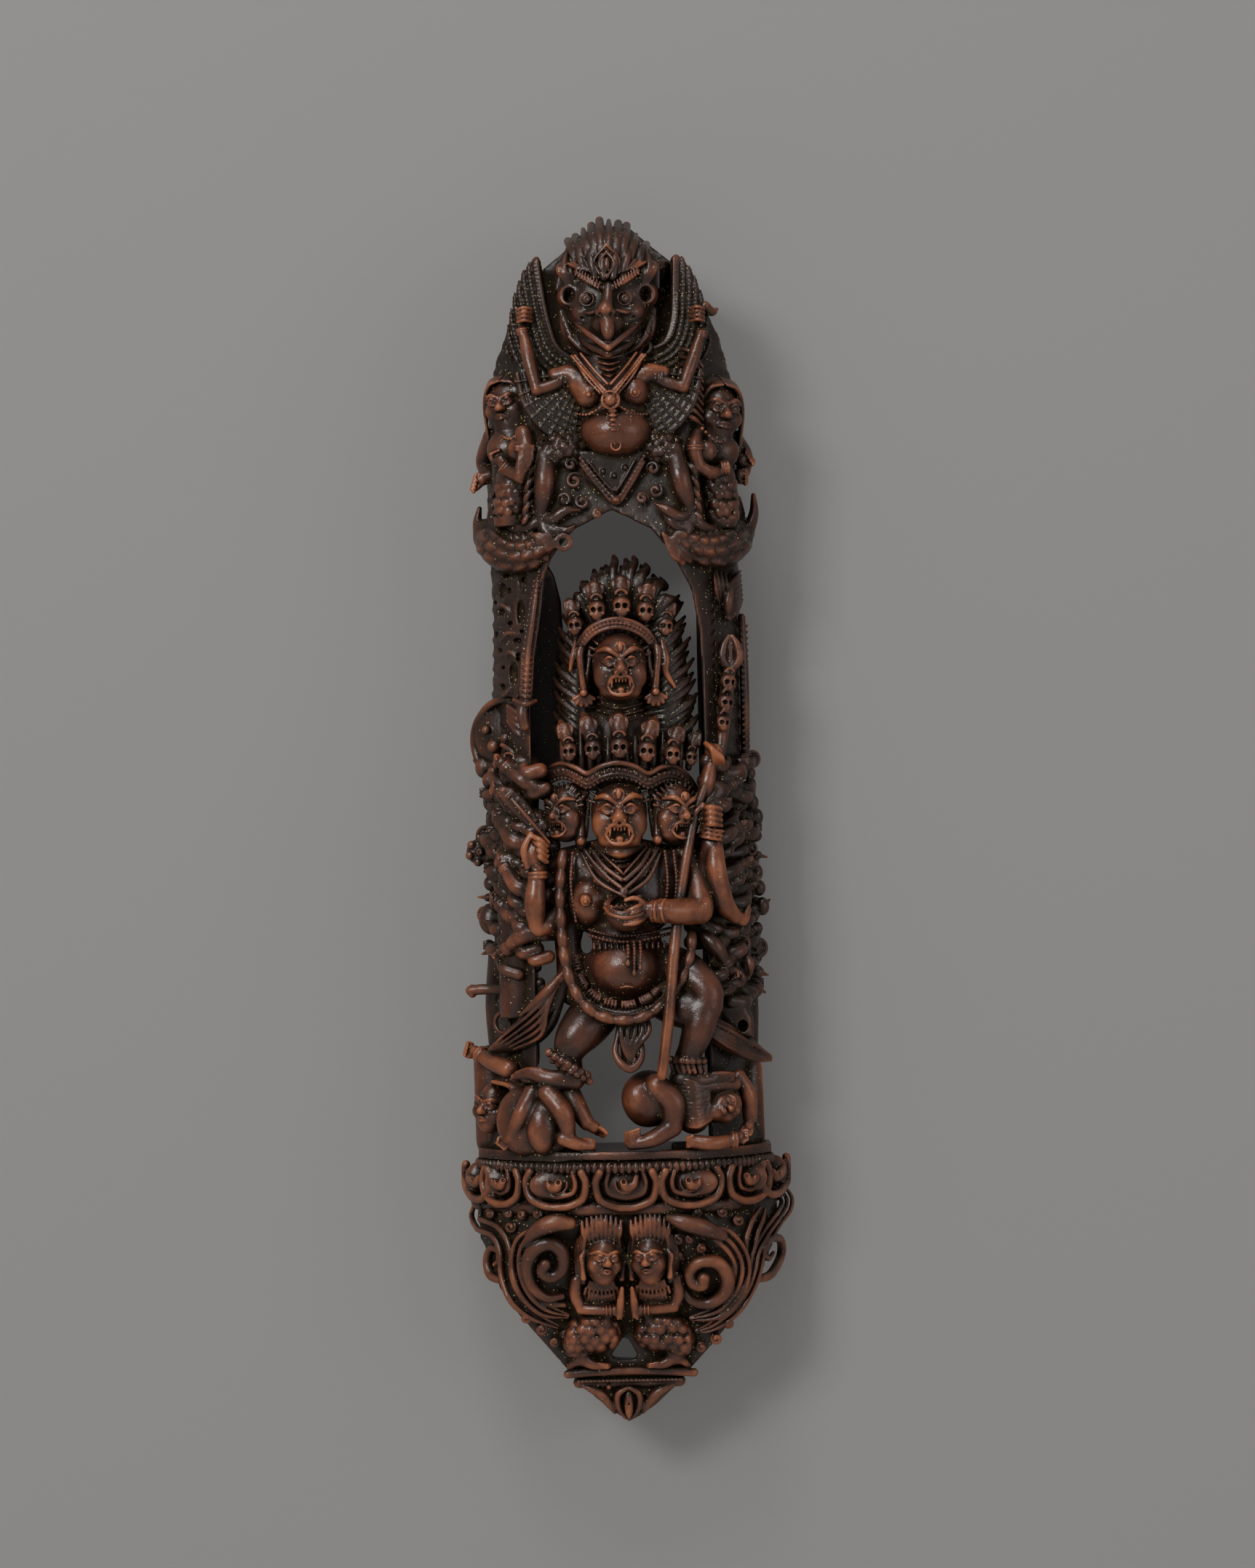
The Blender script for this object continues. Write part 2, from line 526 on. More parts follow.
def undergrowth(c, e, seed, n, z0, z1, x0=14.5, x1=24.5):
    """Many small forearms, fists and curled tips, packed between the larger arms."""
    pick = np.random.RandomState(seed)
    for i in range(n):
        z = z0 + (z1 - z0) * (i + pick.rand()) / n
        x = x0 + (x1 - x0) * ((i * 0.382) % 1.0)
        rise, out, lift = pick.uniform(-0.6, 1.8), pick.uniform(0.8, 2.2), pick.uniform(0.2, 1.8)
        r = pick.uniform(0.75, 1.05)
        root, mid = on((x - 1.6) * e, z - rise, lift - 0.6), on((x + 0.5 * out) * e, z - 0.7, lift + 0.9)
        tip = on((x + out) * e, z + rise * 0.6, lift + 0.4)
        c.tube([root, mid, tip], [1.5 * r, 1.4 * r, 0.9 * r], 0.12)
        kind = i % 4
        if kind == 0:
            c.ball(tip, 1.25 * r, 0.1)
            c.tube([tip, (tip[0] + 1.7 * e, tip[1] + 0.8, tip[2] + 0.9)], [0.8 * r, 0.2], 0.1)
        elif kind == 1:
            c.ring((tip[0], tip[1] - 0.2, tip[2]), 1.5 * r, 0.42 * r, 0.08, turn=30 * e)
        elif kind == 2:
            c.ball(tip, 1.35 * r, 0.1)
            for k in range(3):
                q = tip + np.array([0.2 * e, -1.0 * r, (k - 1) * 0.75 * r])
                c.tube([q - np.array([0.9 * r, 0, 0]), q, q + np.array([0.8 * r, 0.2, 0])], 0.36 * r, 0.05)
        else:
            c.ball(tip, (1.1 * r, 1.1 * r, 1.6 * r), 0.08)
            c.ball((tip[0], tip[1] - 1.0 * r, tip[2] - 0.2), 0.34, -0.06)


# (heights, values) that the shell's profile runs through
RADII = ((-110, -74, -62, -46, 110), (26.5, 28.4, 26.8, TUBE_R, TUBE_R))
AXES = ((-62, -44), (BASE_AXIS_Y, AXIS_Y))
FRONTS = ((-110, -60, 48, 58, 66, 84, 110), (-15.5, -34.2, -34.2, -32, -31, -28.5, -20.5))


def shell_solid(c, z0, z1):
    """The tubular shell between z0 and z1, its flanks rippled by the tool."""
    cut, x, y, z = c.window([-40, -60, z0 - 1], [40, 5, z1 + 1])
    zz = z[0, 0]
    radius, axis, front = (np.interp(zz, *profile)[None, None, :] for profile in (RADII, AXES, FRONTS))
    silhouette = polygon_distance(np.array(OUTLINE, float), x[:, :, 0], zz[None, :])[:, None, :]
    around = np.hypot(x, y - axis) - radius
    theta = np.arctan2(x, -(y - axis))
    side = smooth((np.abs(theta) - 0.75) / 0.5) * smooth((1.85 - np.abs(theta)) / 0.5)
    flow = 0.28 * np.sin(1.9 * (z + 3.2 * np.sin(2.3 * theta + 0.11 * z) + 5.0 * np.abs(theta)))
    flow = flow + 0.14 * np.sin(4.6 * (z + 2.0 * np.sin(3.1 * theta)))
    outer = np.maximum(np.maximum(around, front - y), silhouette)
    outer = np.maximum(outer, y) + 0.5 * side * flow.astype(np.float32)
    hollow = np.maximum(np.maximum(around + WALL, front + WALL - y), silhouette + WALL)
    f = np.maximum(np.maximum(outer, -hollow), np.maximum(z0 - z, z - z1))
    c.mix(cut, f.astype(np.float32), 0)


FOOT_GAP = [(-0.7, -93.8), (-3.0, -97.3), (-2.6, -98), (1.3, -98.3), (1.8, -97.5), (0.4, -94.6)]
WINDOW = [(-15.4, -58), (-15.4, 20), (-15, 34), (-13.5, 42), (-11, 48), (-7, 53), (0, 56.5),
          (7, 53), (11, 48), (14.2, 42), (15.6, 34), (16, 20), (16, -58)]


def outline_field(c, outline):
    """The distance to an XZ outline over the whole block of clay."""
    x, z = c.axes[0], c.axes[2]
    return polygon_distance(np.array(outline, float), x[:, None], z[None, :]).astype(np.float32)[:, None, :]


def cut_foot_gap(c):
    """The small gap between the two tails at the foot."""
    c.d[:] = np.maximum(c.d, -outline_field(c, FOOT_GAP))


def cut_window(c):
    """The window that the deity stands in, cut as deep as the shell's axis."""
    depth = c.axes[1][None, :, None] - AXIS_Y
    c.d[:] = np.maximum(c.d, -np.maximum(outline_field(c, WINDOW), depth))


def pillar_pits(c):
    """Worm-like pits and holes in the left pillar."""
    for x, z, rx, rz in ((-20.2, 42.6, 1.0, 1.3), (-18.8, 42.4, 0.4, 0.5), (-20.6, 38.6, 1.1, 0.6),
                         (-18.8, 36.4, 0.5, 0.5), (-16.8, 38.2, 0.8, 2.4), (-17.6, 33.2, 0.9, 0.5),
                         (-18.4, 27.2, 1.0, 2.2), (-20.8, 31.6, 0.6, 0.4), (-16.1, 44.2, 0.4, 0.5),
                         (-21.4, 34.6, 0.4, 0.6), (-20.4, 25.0, 0.7, 0.5), (-19.4, 45.2, 0.9, 0.4),
                         (-17.4, 30.2, 0.35, 0.9), (-20.2, 28.4, 0.35, 0.35), (-17.2, 22.4, 0.5, 0.9),
                         (-21.6, 40.4, 0.5, 0.4), (-16.6, 34.8, 0.4, 0.4), (-19.2, 22.8, 0.6, 0.3),
                         (-16.9, 18.6, 0.4, 0.7)):
        c.ball(on(x, z), (rx, 1.8, rz), -0.25)
    for points in (((-21, 40, 0.1), (-19.6, 39.6, 0.3), (-18.8, 38.2, 0.1)),
                   ((-20.6, 33.4, 0.1), (-19.2, 34.6, 0.3), (-18, 34.6, 0.1)),
                   ((-19.6, 30.6, 0.1), (-18.8, 31.2, 0.3), (-17.8, 30.2, 0.1)),
                   ((-21, 22.8, 0.1), (-19.8, 23.6, 0.3), (-19, 24.8, 0.1)),
                   ((-17.6, 45.6, 0.1), (-17, 43.4, 0.3), (-17.2, 41.6, 0.1)),
                   ((-21.4, 46.6, 0.1), (-20, 47, 0.3), (-18.4, 46.4, 0.1))):
        c.tube([on(*p) for p in points], [0.3, 0.5, 0.3], 0.25)


def shell_piece(nodes, z0, z1, lo, hi, tone=0.26):
    """One part of the shell, between z0 and z1, with what is carved into it."""
    @piece(nodes, lo, hi, tone=tone, voxel=0.32)
    def sculpt(c):
        shell_solid(c, z0, z1)
        cut_window(c)
        if nodes == "shell_hood":
            c.emboss((-13, 50), (13.4, 84), pebbles((-13, 50), (13.4, 84), 1.5, 0.16, seed=5), front=-26)
        if nodes == "shell_wall_left":
            pillar_pits(c)
            c.slab([(-17, 8), (-17, 50), (-12.8, 48.8), (-10.8, 45.4), (-9.6, 40.5), (-9.2, 32),
                    (-9.4, 8)], -17.5, -14.5, 0.3)
        if nodes == "shell_base":
            cut_foot_gap(c)
    return sculpt


shell_piece("shell_hood", 50, HALF_H, (-25, -37, 49), (25.5, 1, 110), tone=0.12)
shell_piece("shell_wall_left", PLINTH_Z + 0.5, 50, (-29, -37, -61), (-8.5, 1, 51), tone=0.55)
shell_piece("shell_wall_right", PLINTH_Z + 0.5, 50, (9, -37, -61), (29, 1, 51), tone=0.1)
shell_piece("shell_base", -HALF_H, PLINTH_Z + 0.5, (-30, -37, -110.5), (30, 1, -58.5))


# ---- the winged guardian --------------------------------------------------------------------
@piece("garuda_crest", (-13, -38, 94), (13, -14, 110.2), tone=0.22, voxel=0.18)
def garuda_crest(c):
    c.slab([(-9.5, 96), (-8.4, 101.6), (-7, 104.4), (-4.2, 106.4), (-0.6, 107.8), (3.6, 107.2),
            (7, 103.8), (9.6, 100.6), (9.5, 96)], -31, -19)
    # locks that fan out from the brow, in three layers
    tips = [(-8.6, 103.2), (-7, 106.3), (-5.6, 107), (-4.2, 108.3), (-2.7, 108.9), (-1.2, 109.8),
            (0.5, 109.7), (2.2, 109.2), (3.7, 108.8), (5.4, 107.2), (7.2, 105.4), (9.2, 103.2),
            (11.3, 101.4)]
    for i, (x, z) in enumerate(tips):
        root, mid = x * 0.62, x * 0.86
        c.tube([(root, -35.4 + 0.05 * x * x, 98.4), (mid, -33.6 + 0.04 * x * x, 0.5 * (z + 98.8) + 0.6),
                (x, -26.6 + 0.03 * x * x, z - 0.7)], [0.9, 1.0, 0.75 if i % 3 else 0.4], 0.08)
        for s in (-0.45, 0.45):
            c.tube([(root + s, -36.1 + 0.05 * x * x, 99),
                    (mid + s, -34.5 + 0.04 * x * x, 0.5 * (z + 98.8)),
                    (x + 0.8 * s, -27.7 + 0.03 * x * x, z - 1.2)], [0.24, 0.28, 0.15], 0.04)
    for x, z in tips[1::2]:
        c.tube([(x * 0.5, -36.6 + 0.05 * x * x, 97.8), (x * 0.66, -36 + 0.04 * x * x, 101),
                (x * 0.8, -32.2 + 0.03 * x * x, 0.55 * z + 46.6)], [0.8, 0.8, 0.2], 0.1)


@piece("garuda_head", (-11.5, -41, 81), (11.5, -23, 105), tone=0.3, voxel=0.18)
def garuda_head(c):
    c.ball((0, -29.5, 94), (8.2, 6.6, 8.8), 0.5)
    c.ball((0, -31.5, 89), (5.6, 5.2, 4.6), 1.0)
    for e in SIDES:
        c.ball((4.2 * e, -33.5, 91.6), (2.4, 2.4, 2.2), 1.0)
        c.ball((3.4 * e - 0.3, -36.6, 94.0), (1.5, 1.2, 1.15), -0.5)
        c.ball((3.4 * e - 0.3, -35.5, 94.0), 1.05, 0.05)
        c.ball((3.4 * e - 0.3, -36.7, 94.0), 0.4, -0.06)
        c.ring((3.4 * e - 0.3, -36.1, 94.0), 1.25, 0.2, 0.12, turn=14 * e)
        c.tube([(1.2 * e, -36.6, 96), (3.2 * e, -36.6, 97), (5.6 * e, -34.8, 99)], [0.5, 0.6, 0.4], 0.3)
        for t in np.linspace(0, 1, 9):
            x, y, z = (1.5 + 4 * t) * e, -37.5 + 1.9 * t * t, 96.5 + 2.6 * t
            c.tube([(x - 0.2 * e, y + 0.4, z + 0.4), (x + 0.15 * e, y + 0.1, z - 0.8)], 0.22, 0.05)
        # long ears with a hole through them
        c.ball((7 * e, -31.6, 95), (2.2, 1.8, 2.6), 0.4)
        c.ring((6.9 * e, -33.3, 95), 1.55, 0.42, 0.2, turn=22 * e)
        c.ball((6.9 * e, -33.8, 94.9), (1.0, 2.6, 1.4), -0.2)
        c.tube([(6.4 * e, -33, 93.2), (4.6 * e, -34.2, 91.2), (5.8 * e, -33, 90.2)], [0.6, 0.5, 0.35], 0.3)
        # flame tufts over the ears
        for dx, top, r in ((0.3, 103.6, 0.85), (1.3, 101.4, 0.7), (-0.9, 104.4, 0.65), (0.9, 99.6, 0.5)):
            c.tube([((6.4 + 0.7 * dx) * e, -33, 97.4), ((7.3 + 1.0 * dx) * e, -33.4, 99.6),
                    ((6.7 + dx) * e, -31, top)], [r, r * 0.9, 0.2], 0.2)
        # hair that falls behind the cheeks
        for i in range(5):
            c.tube([((8.3 - 0.35 * i) * e, -30.5 - 0.4 * i, 92.4 - 1.2 * i),
                    ((7.8 - 0.8 * i) * e, -31 - 0.4 * i, 88.4 - 0.8 * i),
                    ((5.4 - 0.8 * i) * e, -31 - 0.4 * i, 84.2 - 0.1 * i)], [0.55, 0.6, 0.25], 0.1)
        # V-shaped beak: upper edge, lower edge
        c.tube([(6.5 * e, -32.6, 90.8), (3.4 * e, -36.8, 87.6), (0, -38.9, 84.9)], [0.4, 0.6, 0.6], 0.12)
        c.tube([(6.2 * e, -30.6, 88.6), (3.4 * e, -34.4, 85.8), (0, -36.6, 84)], [0.5, 0.7, 0.8], 0.4)
        c.tube([(5.8 * e, -32.6, 89.2), (3.0 * e, -36.4, 86.1), (0.2 * e, -38.2, 83.9)], 0.3, -0.12)
        c.tube([(5.4 * e, -34.4, 91.6), (2.9 * e, -37.3, 88.9), (0.9 * e, -38.6, 87.2)], 0.26, -0.15)
        c.tube([(1.5 * e, -37.3, 91.8), (3.4 * e, -36.3, 91.4), (5.0 * e, -34.9, 92.2)],
               [0.3, 0.4, 0.3], 0.25)
        c.tube([(4.9 * e, -34.4, 93), (6.2 * e, -33.2, 91.6), (6.9 * e, -31.9, 90.9)], [0.25, 0.3, 0.2],
               0.2)
        c.tube([(0.9 * e, -38, 90.3), (1.5 * e, -38, 88.8)], [0.3, 0.3], -0.15)
    c.ball((0, -34.8, 89.2), (3.2, 3.6, 3.2), 0.6)
    c.tube([(-0.2, -37.5, 89.8), (0, -38.8, 87.8), (0, -38.6, 86.4)], [1.5, 1.2, 0.5], 0.4)
    c.tube([(0.2, -36.2, 96.2), (0, -37.2, 93.6), (-0.4, -38, 91.8)], [0.9, 1.0, 1.45], 0.5)
    for e in SIDES:
        c.ball((-0.4 + 1.15 * e, -37.8, 91.3), 0.75, 0.25)
        c.ball((-0.4 + 0.95 * e, -38.6, 90.9), 0.33, -0.1)
    # upright oval jewel on the brow
    for e in SIDES:
        c.tube([(0, -36.2, 102.4), (1.35 * e, -36.8, 100.2), (0, -37.2, 97.7)], 0.3, 0.1)
        c.tube([(0, -36.2, 103.6), (2.3 * e, -36, 100.6), (0.7 * e, -36.8, 97.6)], 0.28, 0.1)
    c.ball((0, -36.7, 100), (0.62, 0.7, 1.35), 0.05)
    for i in range(6):
        for e in SIDES:
            c.tube([((1.4 + 0.75 * i) * e, -36.4 + 0.25 * i, 98.3 + 0.25 * i),
                    ((2.2 + 0.95 * i) * e, -35.2 + 0.25 * i, 101.6 - 0.2 * i)], [0.38, 0.3], 0.1)


def wing(c, e, edge, beaded):
    """A raised wing on side e, with rows of feathers behind its inner edge."""
    outer = [(6 * e, 80.6), (11 * e, 80.8), (16 * e, 81.5), (19.4 * e, 85), (18.6 * e, 90.5),
             (17.2 * e, 95.5), (15.4 * e, 99.4), (12.8 * e, 102.2)]
    c.slab(edge + outer, -29.2, -19, 0.2, edge=0.8)
    to_edge = along(edge)
    pitch = 1.15

    def feathers(x, z):
        d, s, _ = to_edge(x, z)
        row = np.floor(d / pitch)
        step = d / pitch - row
        height = 0.75 - 0.16 * d - 0.55 * np.abs(2 * step - 1) ** 3 + 0.1 * np.sin(9 * s + 2.0 * row)
        return height * smooth((11 - d) / 2)
    c.emboss((-21, 80), (21, 103), feathers, front=-19)
    c.tube([(x, -29.6, z) for x, z in edge], [0.4, 0.55, 0.5], 0.15)
    if beaded:
        c.beads([(x + 0.6, -29.9, z + 0.2) for x, z in edge[1:]], 0.42, 26, 0.1)


@piece("garuda_wing_left", (-20.5, -36, 66), (-4, -17, 103), tone=-0.12, voxel=0.22)
def garuda_wing_left(c):
    wing(c, -1, [(-12.6, 101.6), (-11.7, 95), (-10.7, 90), (-9.2, 86), (-5.6, 83.2)], False)
    lower_feathers(c, -1)


@piece("garuda_wing_right", (4, -36, 66), (20.5, -17, 103), tone=-0.08, voxel=0.22)
def garuda_wing_right(c):
    wing(c, 1, [(12.2, 101.6), (12, 95), (11.6, 90), (9.8, 86.3), (4.6, 84.4)], True)
    c.ring((6.4, -30.6, 85.6), 1.2, 0.45, 0.1, arc=(-60, 200))
    lower_feathers(c, 1)


def lower_feathers(c, e):
    """Fans of barbed feathers that fall from the shoulder on side e."""
    c.slab([(4.5 * e, 82), (13.6 * e, 81), (14.4 * e, 74), (11.4 * e, 69.5), (5 * e, 68)], -31, -22,
           0.3, edge=0.8)
    for i in range(8):
        r = 4.2 + 1.15 * i
        pts = [(4.2 * e + r * math.cos(math.radians(a)) * e, -32.4 + 0.05 * r,
                81.6 - 1.1 * r * math.sin(math.radians(a))) for a in (2, 26, 50, 74, 96)]
        c.tube(pts, [0.45, 0.68, 0.64, 0.45], 0.08)
        for j in range(9):
            a = math.radians(8 + 10 * j)
            x, z = 4.2 * e + r * math.cos(a) * e, 81.6 - 1.1 * r * math.sin(a)
            c.tube([(x - 0.4 * e * math.cos(a), -33.1 + 0.05 * r, z + 0.35 * math.sin(a)),
                    (x + 0.5 * e * math.cos(a), -32.9 + 0.05 * r, z - 0.5 * math.sin(a))], 0.2, 0.04)


@piece("garuda_torso", (-11, -41, 63), (11.5, -20, 90), tone=0.74, voxel=0.18)
def garuda_torso(c):
    c.tube([(0, -28.5, 88), (0, -28, 78)], [5, 6], 0.5)
    c.ball((0, -29, 79.6), (8.6, 5.4, 5.4), 1.0)
    c.ball((0.6, -30.2, 74.4), (6.6, 4.6, 5.0), 1.0)
    c.tube([(-7.2, -31.4, 80.4), (-5.4, -33, 78.6), (-3.8, -34, 76.9)], [1.5, 2.0, 2.35], 0.4)
    c.ball((-3.7, -36.3, 76.8), 0.5, 0.25)
    c.ball((4.5, -33.4, 77.4), (2.6, 2.7, 2.7), 0.4)
    c.ball((4.6, -36.1, 77.1), 0.5, 0.2)
    c.ring((4.6, -36.0, 77.1), 0.8, 0.14, 0.1)
    c.ball((1, -31.8, 70.4), (6.5, 5.6, 4.7), 0.7)
    c.ball((1, -37.2, 67.6), (0.6, 0.8, 0.5), -0.25)
    c.ring((1, -36.6, 67.6), 0.85, 0.2, 0.15)
    for i in range(6):
        c.ball((0.5 + 0.02 * i, -36.6 - 0.12 * i, 74.6 - 0.85 * i), (0.95 - 0.04 * i, 0.6, 0.42), 0.08)
    for e in SIDES:
        c.tube([(6.0 * e, -33.2, 84.0), (3.4 * e, -35.2, 80.4), (0.6 * e, -36.9, 77.2)],
               [0.4, 0.45, 0.4], 0.1)
        for t in np.linspace(0, 1, 13):
            x, y, z = 6.3 - 5.2 * t, -33.9 - 3.6 * t, 83.6 - 6.6 * t
            c.tube([((x - 0.35) * e, y + 0.3, z - 0.4), (x * e, y - 0.15, z),
                    ((x + 0.35) * e, y + 0.3, z + 0.45)], 0.24, 0.04)
        c.tube([(5 * e, -33.6, 84.4), (2.6 * e, -35.3, 81.2), (0.3 * e, -36.6, 78.6)], 0.28, 0.1)
        c.tube([(5.6 * e, -34.2, 82.4), (3.9 * e, -35.6, 79.6), (1.6 * e, -36.6, 77)], 0.26, 0.1)
        # shoulder that runs into the arm
        c.tube([(3.4 * e, -32.6, 77.8), (6.6 * e, -32.4, 80.6), (9.6 * e, -32.2, 80.6)],
               [2.4, 1.9, 1.5], 0.5)
    for z, w in ((83.4, 2.2), (82.3, 1.9), (81.2, 1.5), (80.1, 1.0)):
        c.tube([(-w, -34.4, z + 0.5), (0, -35.2, z), (w, -34.4, z + 0.5)], 0.3, 0.15)
    c.ball((0.2, -37.3, 75.7), (1.15, 1.0, 1.15), 0.1)
    c.ring((0.2, -37.3, 75.7), 1.5, 0.28, 0.1)
    c.beads([(1.6, -36.2, 74.7), (4, -35.2, 73.4), (6.6, -33.2, 73.3)], 0.34, 10, 0.06)
    c.beads([(-1.2, -36.2, 74.7), (-3.6, -35, 73.4), (-5.8, -33, 73.6)], 0.34, 9, 0.06)


def guardian_arm(c, e, elbow, wrist, shoulder, fist):
    """An arm raised from the shoulder, with cuffs and a closed fist."""
    c.tube([shoulder, ((shoulder[0] + elbow[0]) / 2, -33, (shoulder[2] + elbow[2]) / 2 - 0.3), elbow],
           [1.1, 1.15, 1.05], 0.3)
    c.tube([elbow, ((elbow[0] + wrist[0]) / 2 + 0.1 * e, (elbow[1] + wrist[1]) / 2 - 0.4,
                    (elbow[2] + wrist[2]) / 2), wrist], [1.1, 1.2, 0.8], 0.25)
    bracelet(c, (shoulder[0] + 1.8 * e, -32.6, shoulder[2] - 0.5), (1, 0, -0.3), 1.3, 2, 0.26)
    bracelet(c, (wrist[0], wrist[1], wrist[2] - 0.4), (0.15 * e, 0, 1), 0.95, 3, 0.22)
    c.ball(fist, (1.3, 1.2, 1.5), 0.3)
    for i in range(4):
        c.tube([(fist[0] - 1.2 * e, fist[1] - 0.5, fist[2] - 1.2 + 0.75 * i),
                (fist[0], fist[1] - 1.3, fist[2] - 1.0 + 0.75 * i),
                (fist[0] + 1.1 * e, fist[1] - 0.7, fist[2] - 1.3 + 0.75 * i)], 0.34, 0.06)


@piece("garuda_arm_left", (-19, -36, 76), (-5, -26, 96), tone=0.26, voxel=0.18)
def garuda_arm_left(c):
    guardian_arm(c, -1, (-13.0, -33.2, 78.1), (-15.5, -30.8, 89.2), (-7.0, -32.4, 80.4),
                 (-15.1, -30.4, 91.8))


@piece("garuda_arm_right", (5.4, -36, 75.5), (20.8, -26, 96), tone=0.32, voxel=0.18)
def garuda_arm_right(c):
    guardian_arm(c, 1, (13.3, -33.2, 78.1), (16.8, -30.2, 88.2), (7.4, -32.4, 80.4), (16.2, -30.2, 91.4))
    c.tube([(17.6, -29, 93), (18.8, -28, 92), (19.8, -27.2, 92.6)], [0.9, 0.8, 0.3], 0.2)


def guardian_leg(c, e, hip, knee, ankle, toes):
    """A bird's leg: curled down on the thigh, a bare shin, rings at the ankle and claws."""
    c.tube([hip, ((hip[0] + knee[0]) / 2, -30.5, (hip[2] + knee[2]) / 2), knee], [3.4, 3.2, 2.2], 0.4)
    lo = (min(hip[0], knee[0]) - 2.6, min(hip[2], knee[2]) - 3.4)
    hi = (max(hip[0], knee[0]) + 2.6, max(hip[2], knee[2]) + 3.4)
    c.emboss(lo, hi, pebbles(lo, hi, 1.75, 0.85, seed=4), front=-22)
    mid = ((knee[0] + ankle[0]) / 2 - 0.25 * e, -33.4, (knee[2] + ankle[2]) / 2)
    c.tube([(knee[0], -32, knee[2] - 0.6), mid, ankle], [1.9, 1.85, 1.25], 0.3)
    for i in range(3):
        c.tube([(ankle[0] - 1.5, ankle[1] - 0.5, ankle[2] + 1.9 - 0.6 * i),
                (ankle[0], ankle[1] - 1.4, ankle[2] + 1.7 - 0.6 * i),
                (ankle[0] + 1.5, ankle[1] - 0.5, ankle[2] + 1.9 - 0.6 * i)], 0.3, 0.08)
    for toe in toes:
        c.tube([ankle] + toe, [1.2, 1.1, 0.95, 0.3], 0.25)
        c.tube([np.array(toe[1]) - (0, 0.9, 0), np.array(toe[2]) - (0, 0.5, 0)], [0.2, 0.14], 0.05)


@piece("garuda_leg_left", (-20.5, -37, 51), (-3.5, -23, 73), tone=0.22, voxel=0.18)
def garuda_leg_left(c):
    guardian_leg(c, -1, (-6, -28.5, 68.6), (-11.8, -31, 66.6), (-12.7, -31.8, 55.2),
                 [[(-10.6, -33.2, 54.8), (-8.4, -33.8, 56.2), (-5.8, -33.6, 56.3)],
                  [(-14.6, -31.5, 53.6), (-17, -29.6, 53.2), (-19.4, -27, 54.3)],
                  [(-10.8, -32.6, 53.2), (-8.4, -33, 52.6), (-6.6, -33, 53.6)],
                  [(-12, -32.6, 52.9), (-11, -33, 51.9), (-9.4, -33, 51.6)]])


@piece("garuda_leg_right", (3.5, -37, 49.5), (20.5, -23, 73), tone=0.24, voxel=0.18)
def garuda_leg_right(c):
    guardian_leg(c, 1, (6.6, -28.5, 68.4), (11.6, -31, 66.4), (14.2, -31.4, 55.6),
                 [[(12.2, -33.4, 54.8), (10, -33.8, 56), (7.8, -33.4, 57.2)],
                  [(15.8, -31.4, 53.4), (17.6, -29.4, 52.6), (19.8, -26.6, 53.4)],
                  [(12.6, -32.8, 53), (10.8, -33.2, 53.8), (9, -33, 55.4)],
                  [(13.4, -32.6, 52), (11.6, -32.8, 51.4), (9.8, -32.4, 52.8)]])


@piece("garuda_apron", (-9.5, -36, 48.5), (10, -24, 68), tone=0.02, voxel=0.2)
def garuda_apron(c):
    c.slab([(-9, 67), (9, 67), (8.6, 60), (8, 56), (4, 57), (0, 58.4), (-4, 57), (-8, 56), (-9, 60)],
           -30.6, -25, 0.3, edge=0.7)
    c.slab([(-5.8, 67), (6.2, 67), (5.4, 62.5), (0.8, 56.8), (-4.6, 62)], -32.8, -28, 0.3, edge=0.5)
    border = [(-5.4, -33.2, 64.6), (-2.4, -33.2, 60.6), (0.8, -33.4, 57.4), (3.4, -33.2, 60.4),
              (6, -33.2, 64.8)]
    c.tube(border, 0.35, 0.1)
    c.beads([(x, y - 0.2, z + 1.0) for x, y, z in border], 0.42, 24, 0.1)
    c.tube([(x * 0.72, y, z * 0.72 + 18.4) for x, y, z in border], 0.28, 0.1)
    c.ball((0.8, -33.6, 58), (0.9, 0.8, 0.6), 0.1)
    for x, z, r, start, sense in ((-6.6, 61.6, 1.5, 60, 1), (-8.4, 58.2, 1.3, 200, -1),
                                  (-5.2, 57.8, 1.3, 120, 1), (8, 59.6, 1.3, 60, -1),
                                  (5.6, 58.2, 1.1, 0, 1), (-7.2, 64.6, 1.2, 0, 1),
                                  (7.6, 63.6, 1.2, 180, -1), (-2.6, 55.6, 0.9, 30, 1)):
        curl(c, x, z, r, start, sense, 0.42, lift=0.1, where=lambda u, w,
             lift: np.array([u, -32.5 - lift - 0.12 * (62 - w), w]))
    for x, z in ((-3.6, 62.4), (-1.6, 60.6), (1, 59.6), (3, 61), (4.6, 62.8), (0.6, 62.4), (-1.4, 63.2),
                 (2.6, 63.8)):
        c.ball((x, -33, z), 0.5, 0.08)
    c.ring((-3.6, -31, 57.6), 1.6, 0.45, 0.2, arc=(-120, 150))
    c.ball((-1.6, -31.4, 56), 0.55, -0.2)
    c.ball((-0.8, -31.2, 57.6), 0.4, -0.1)
    for i in range(4):
        c.tube([(5.4 + 1.1 * i, -31.2 + 0.2 * i, 59 - 0.6 * i), (6.4 + 0.8 * i, -31.6, 56.4 - 0.6 * i),
                (8.2 + 0.4 * i, -31, 54 - 0.9 * i)], [0.5, 0.6, 0.3], 0.1)
        c.tube([(-6 - 0.8 * i, -30.8, 62 - 1.4 * i), (-7 - 0.5 * i, -31.4, 59.5 - 1.2 * i),
                (-5.6 - 0.6 * i, -31, 57.6 - 1.2 * i)], [0.5, 0.6, 0.3], 0.1)


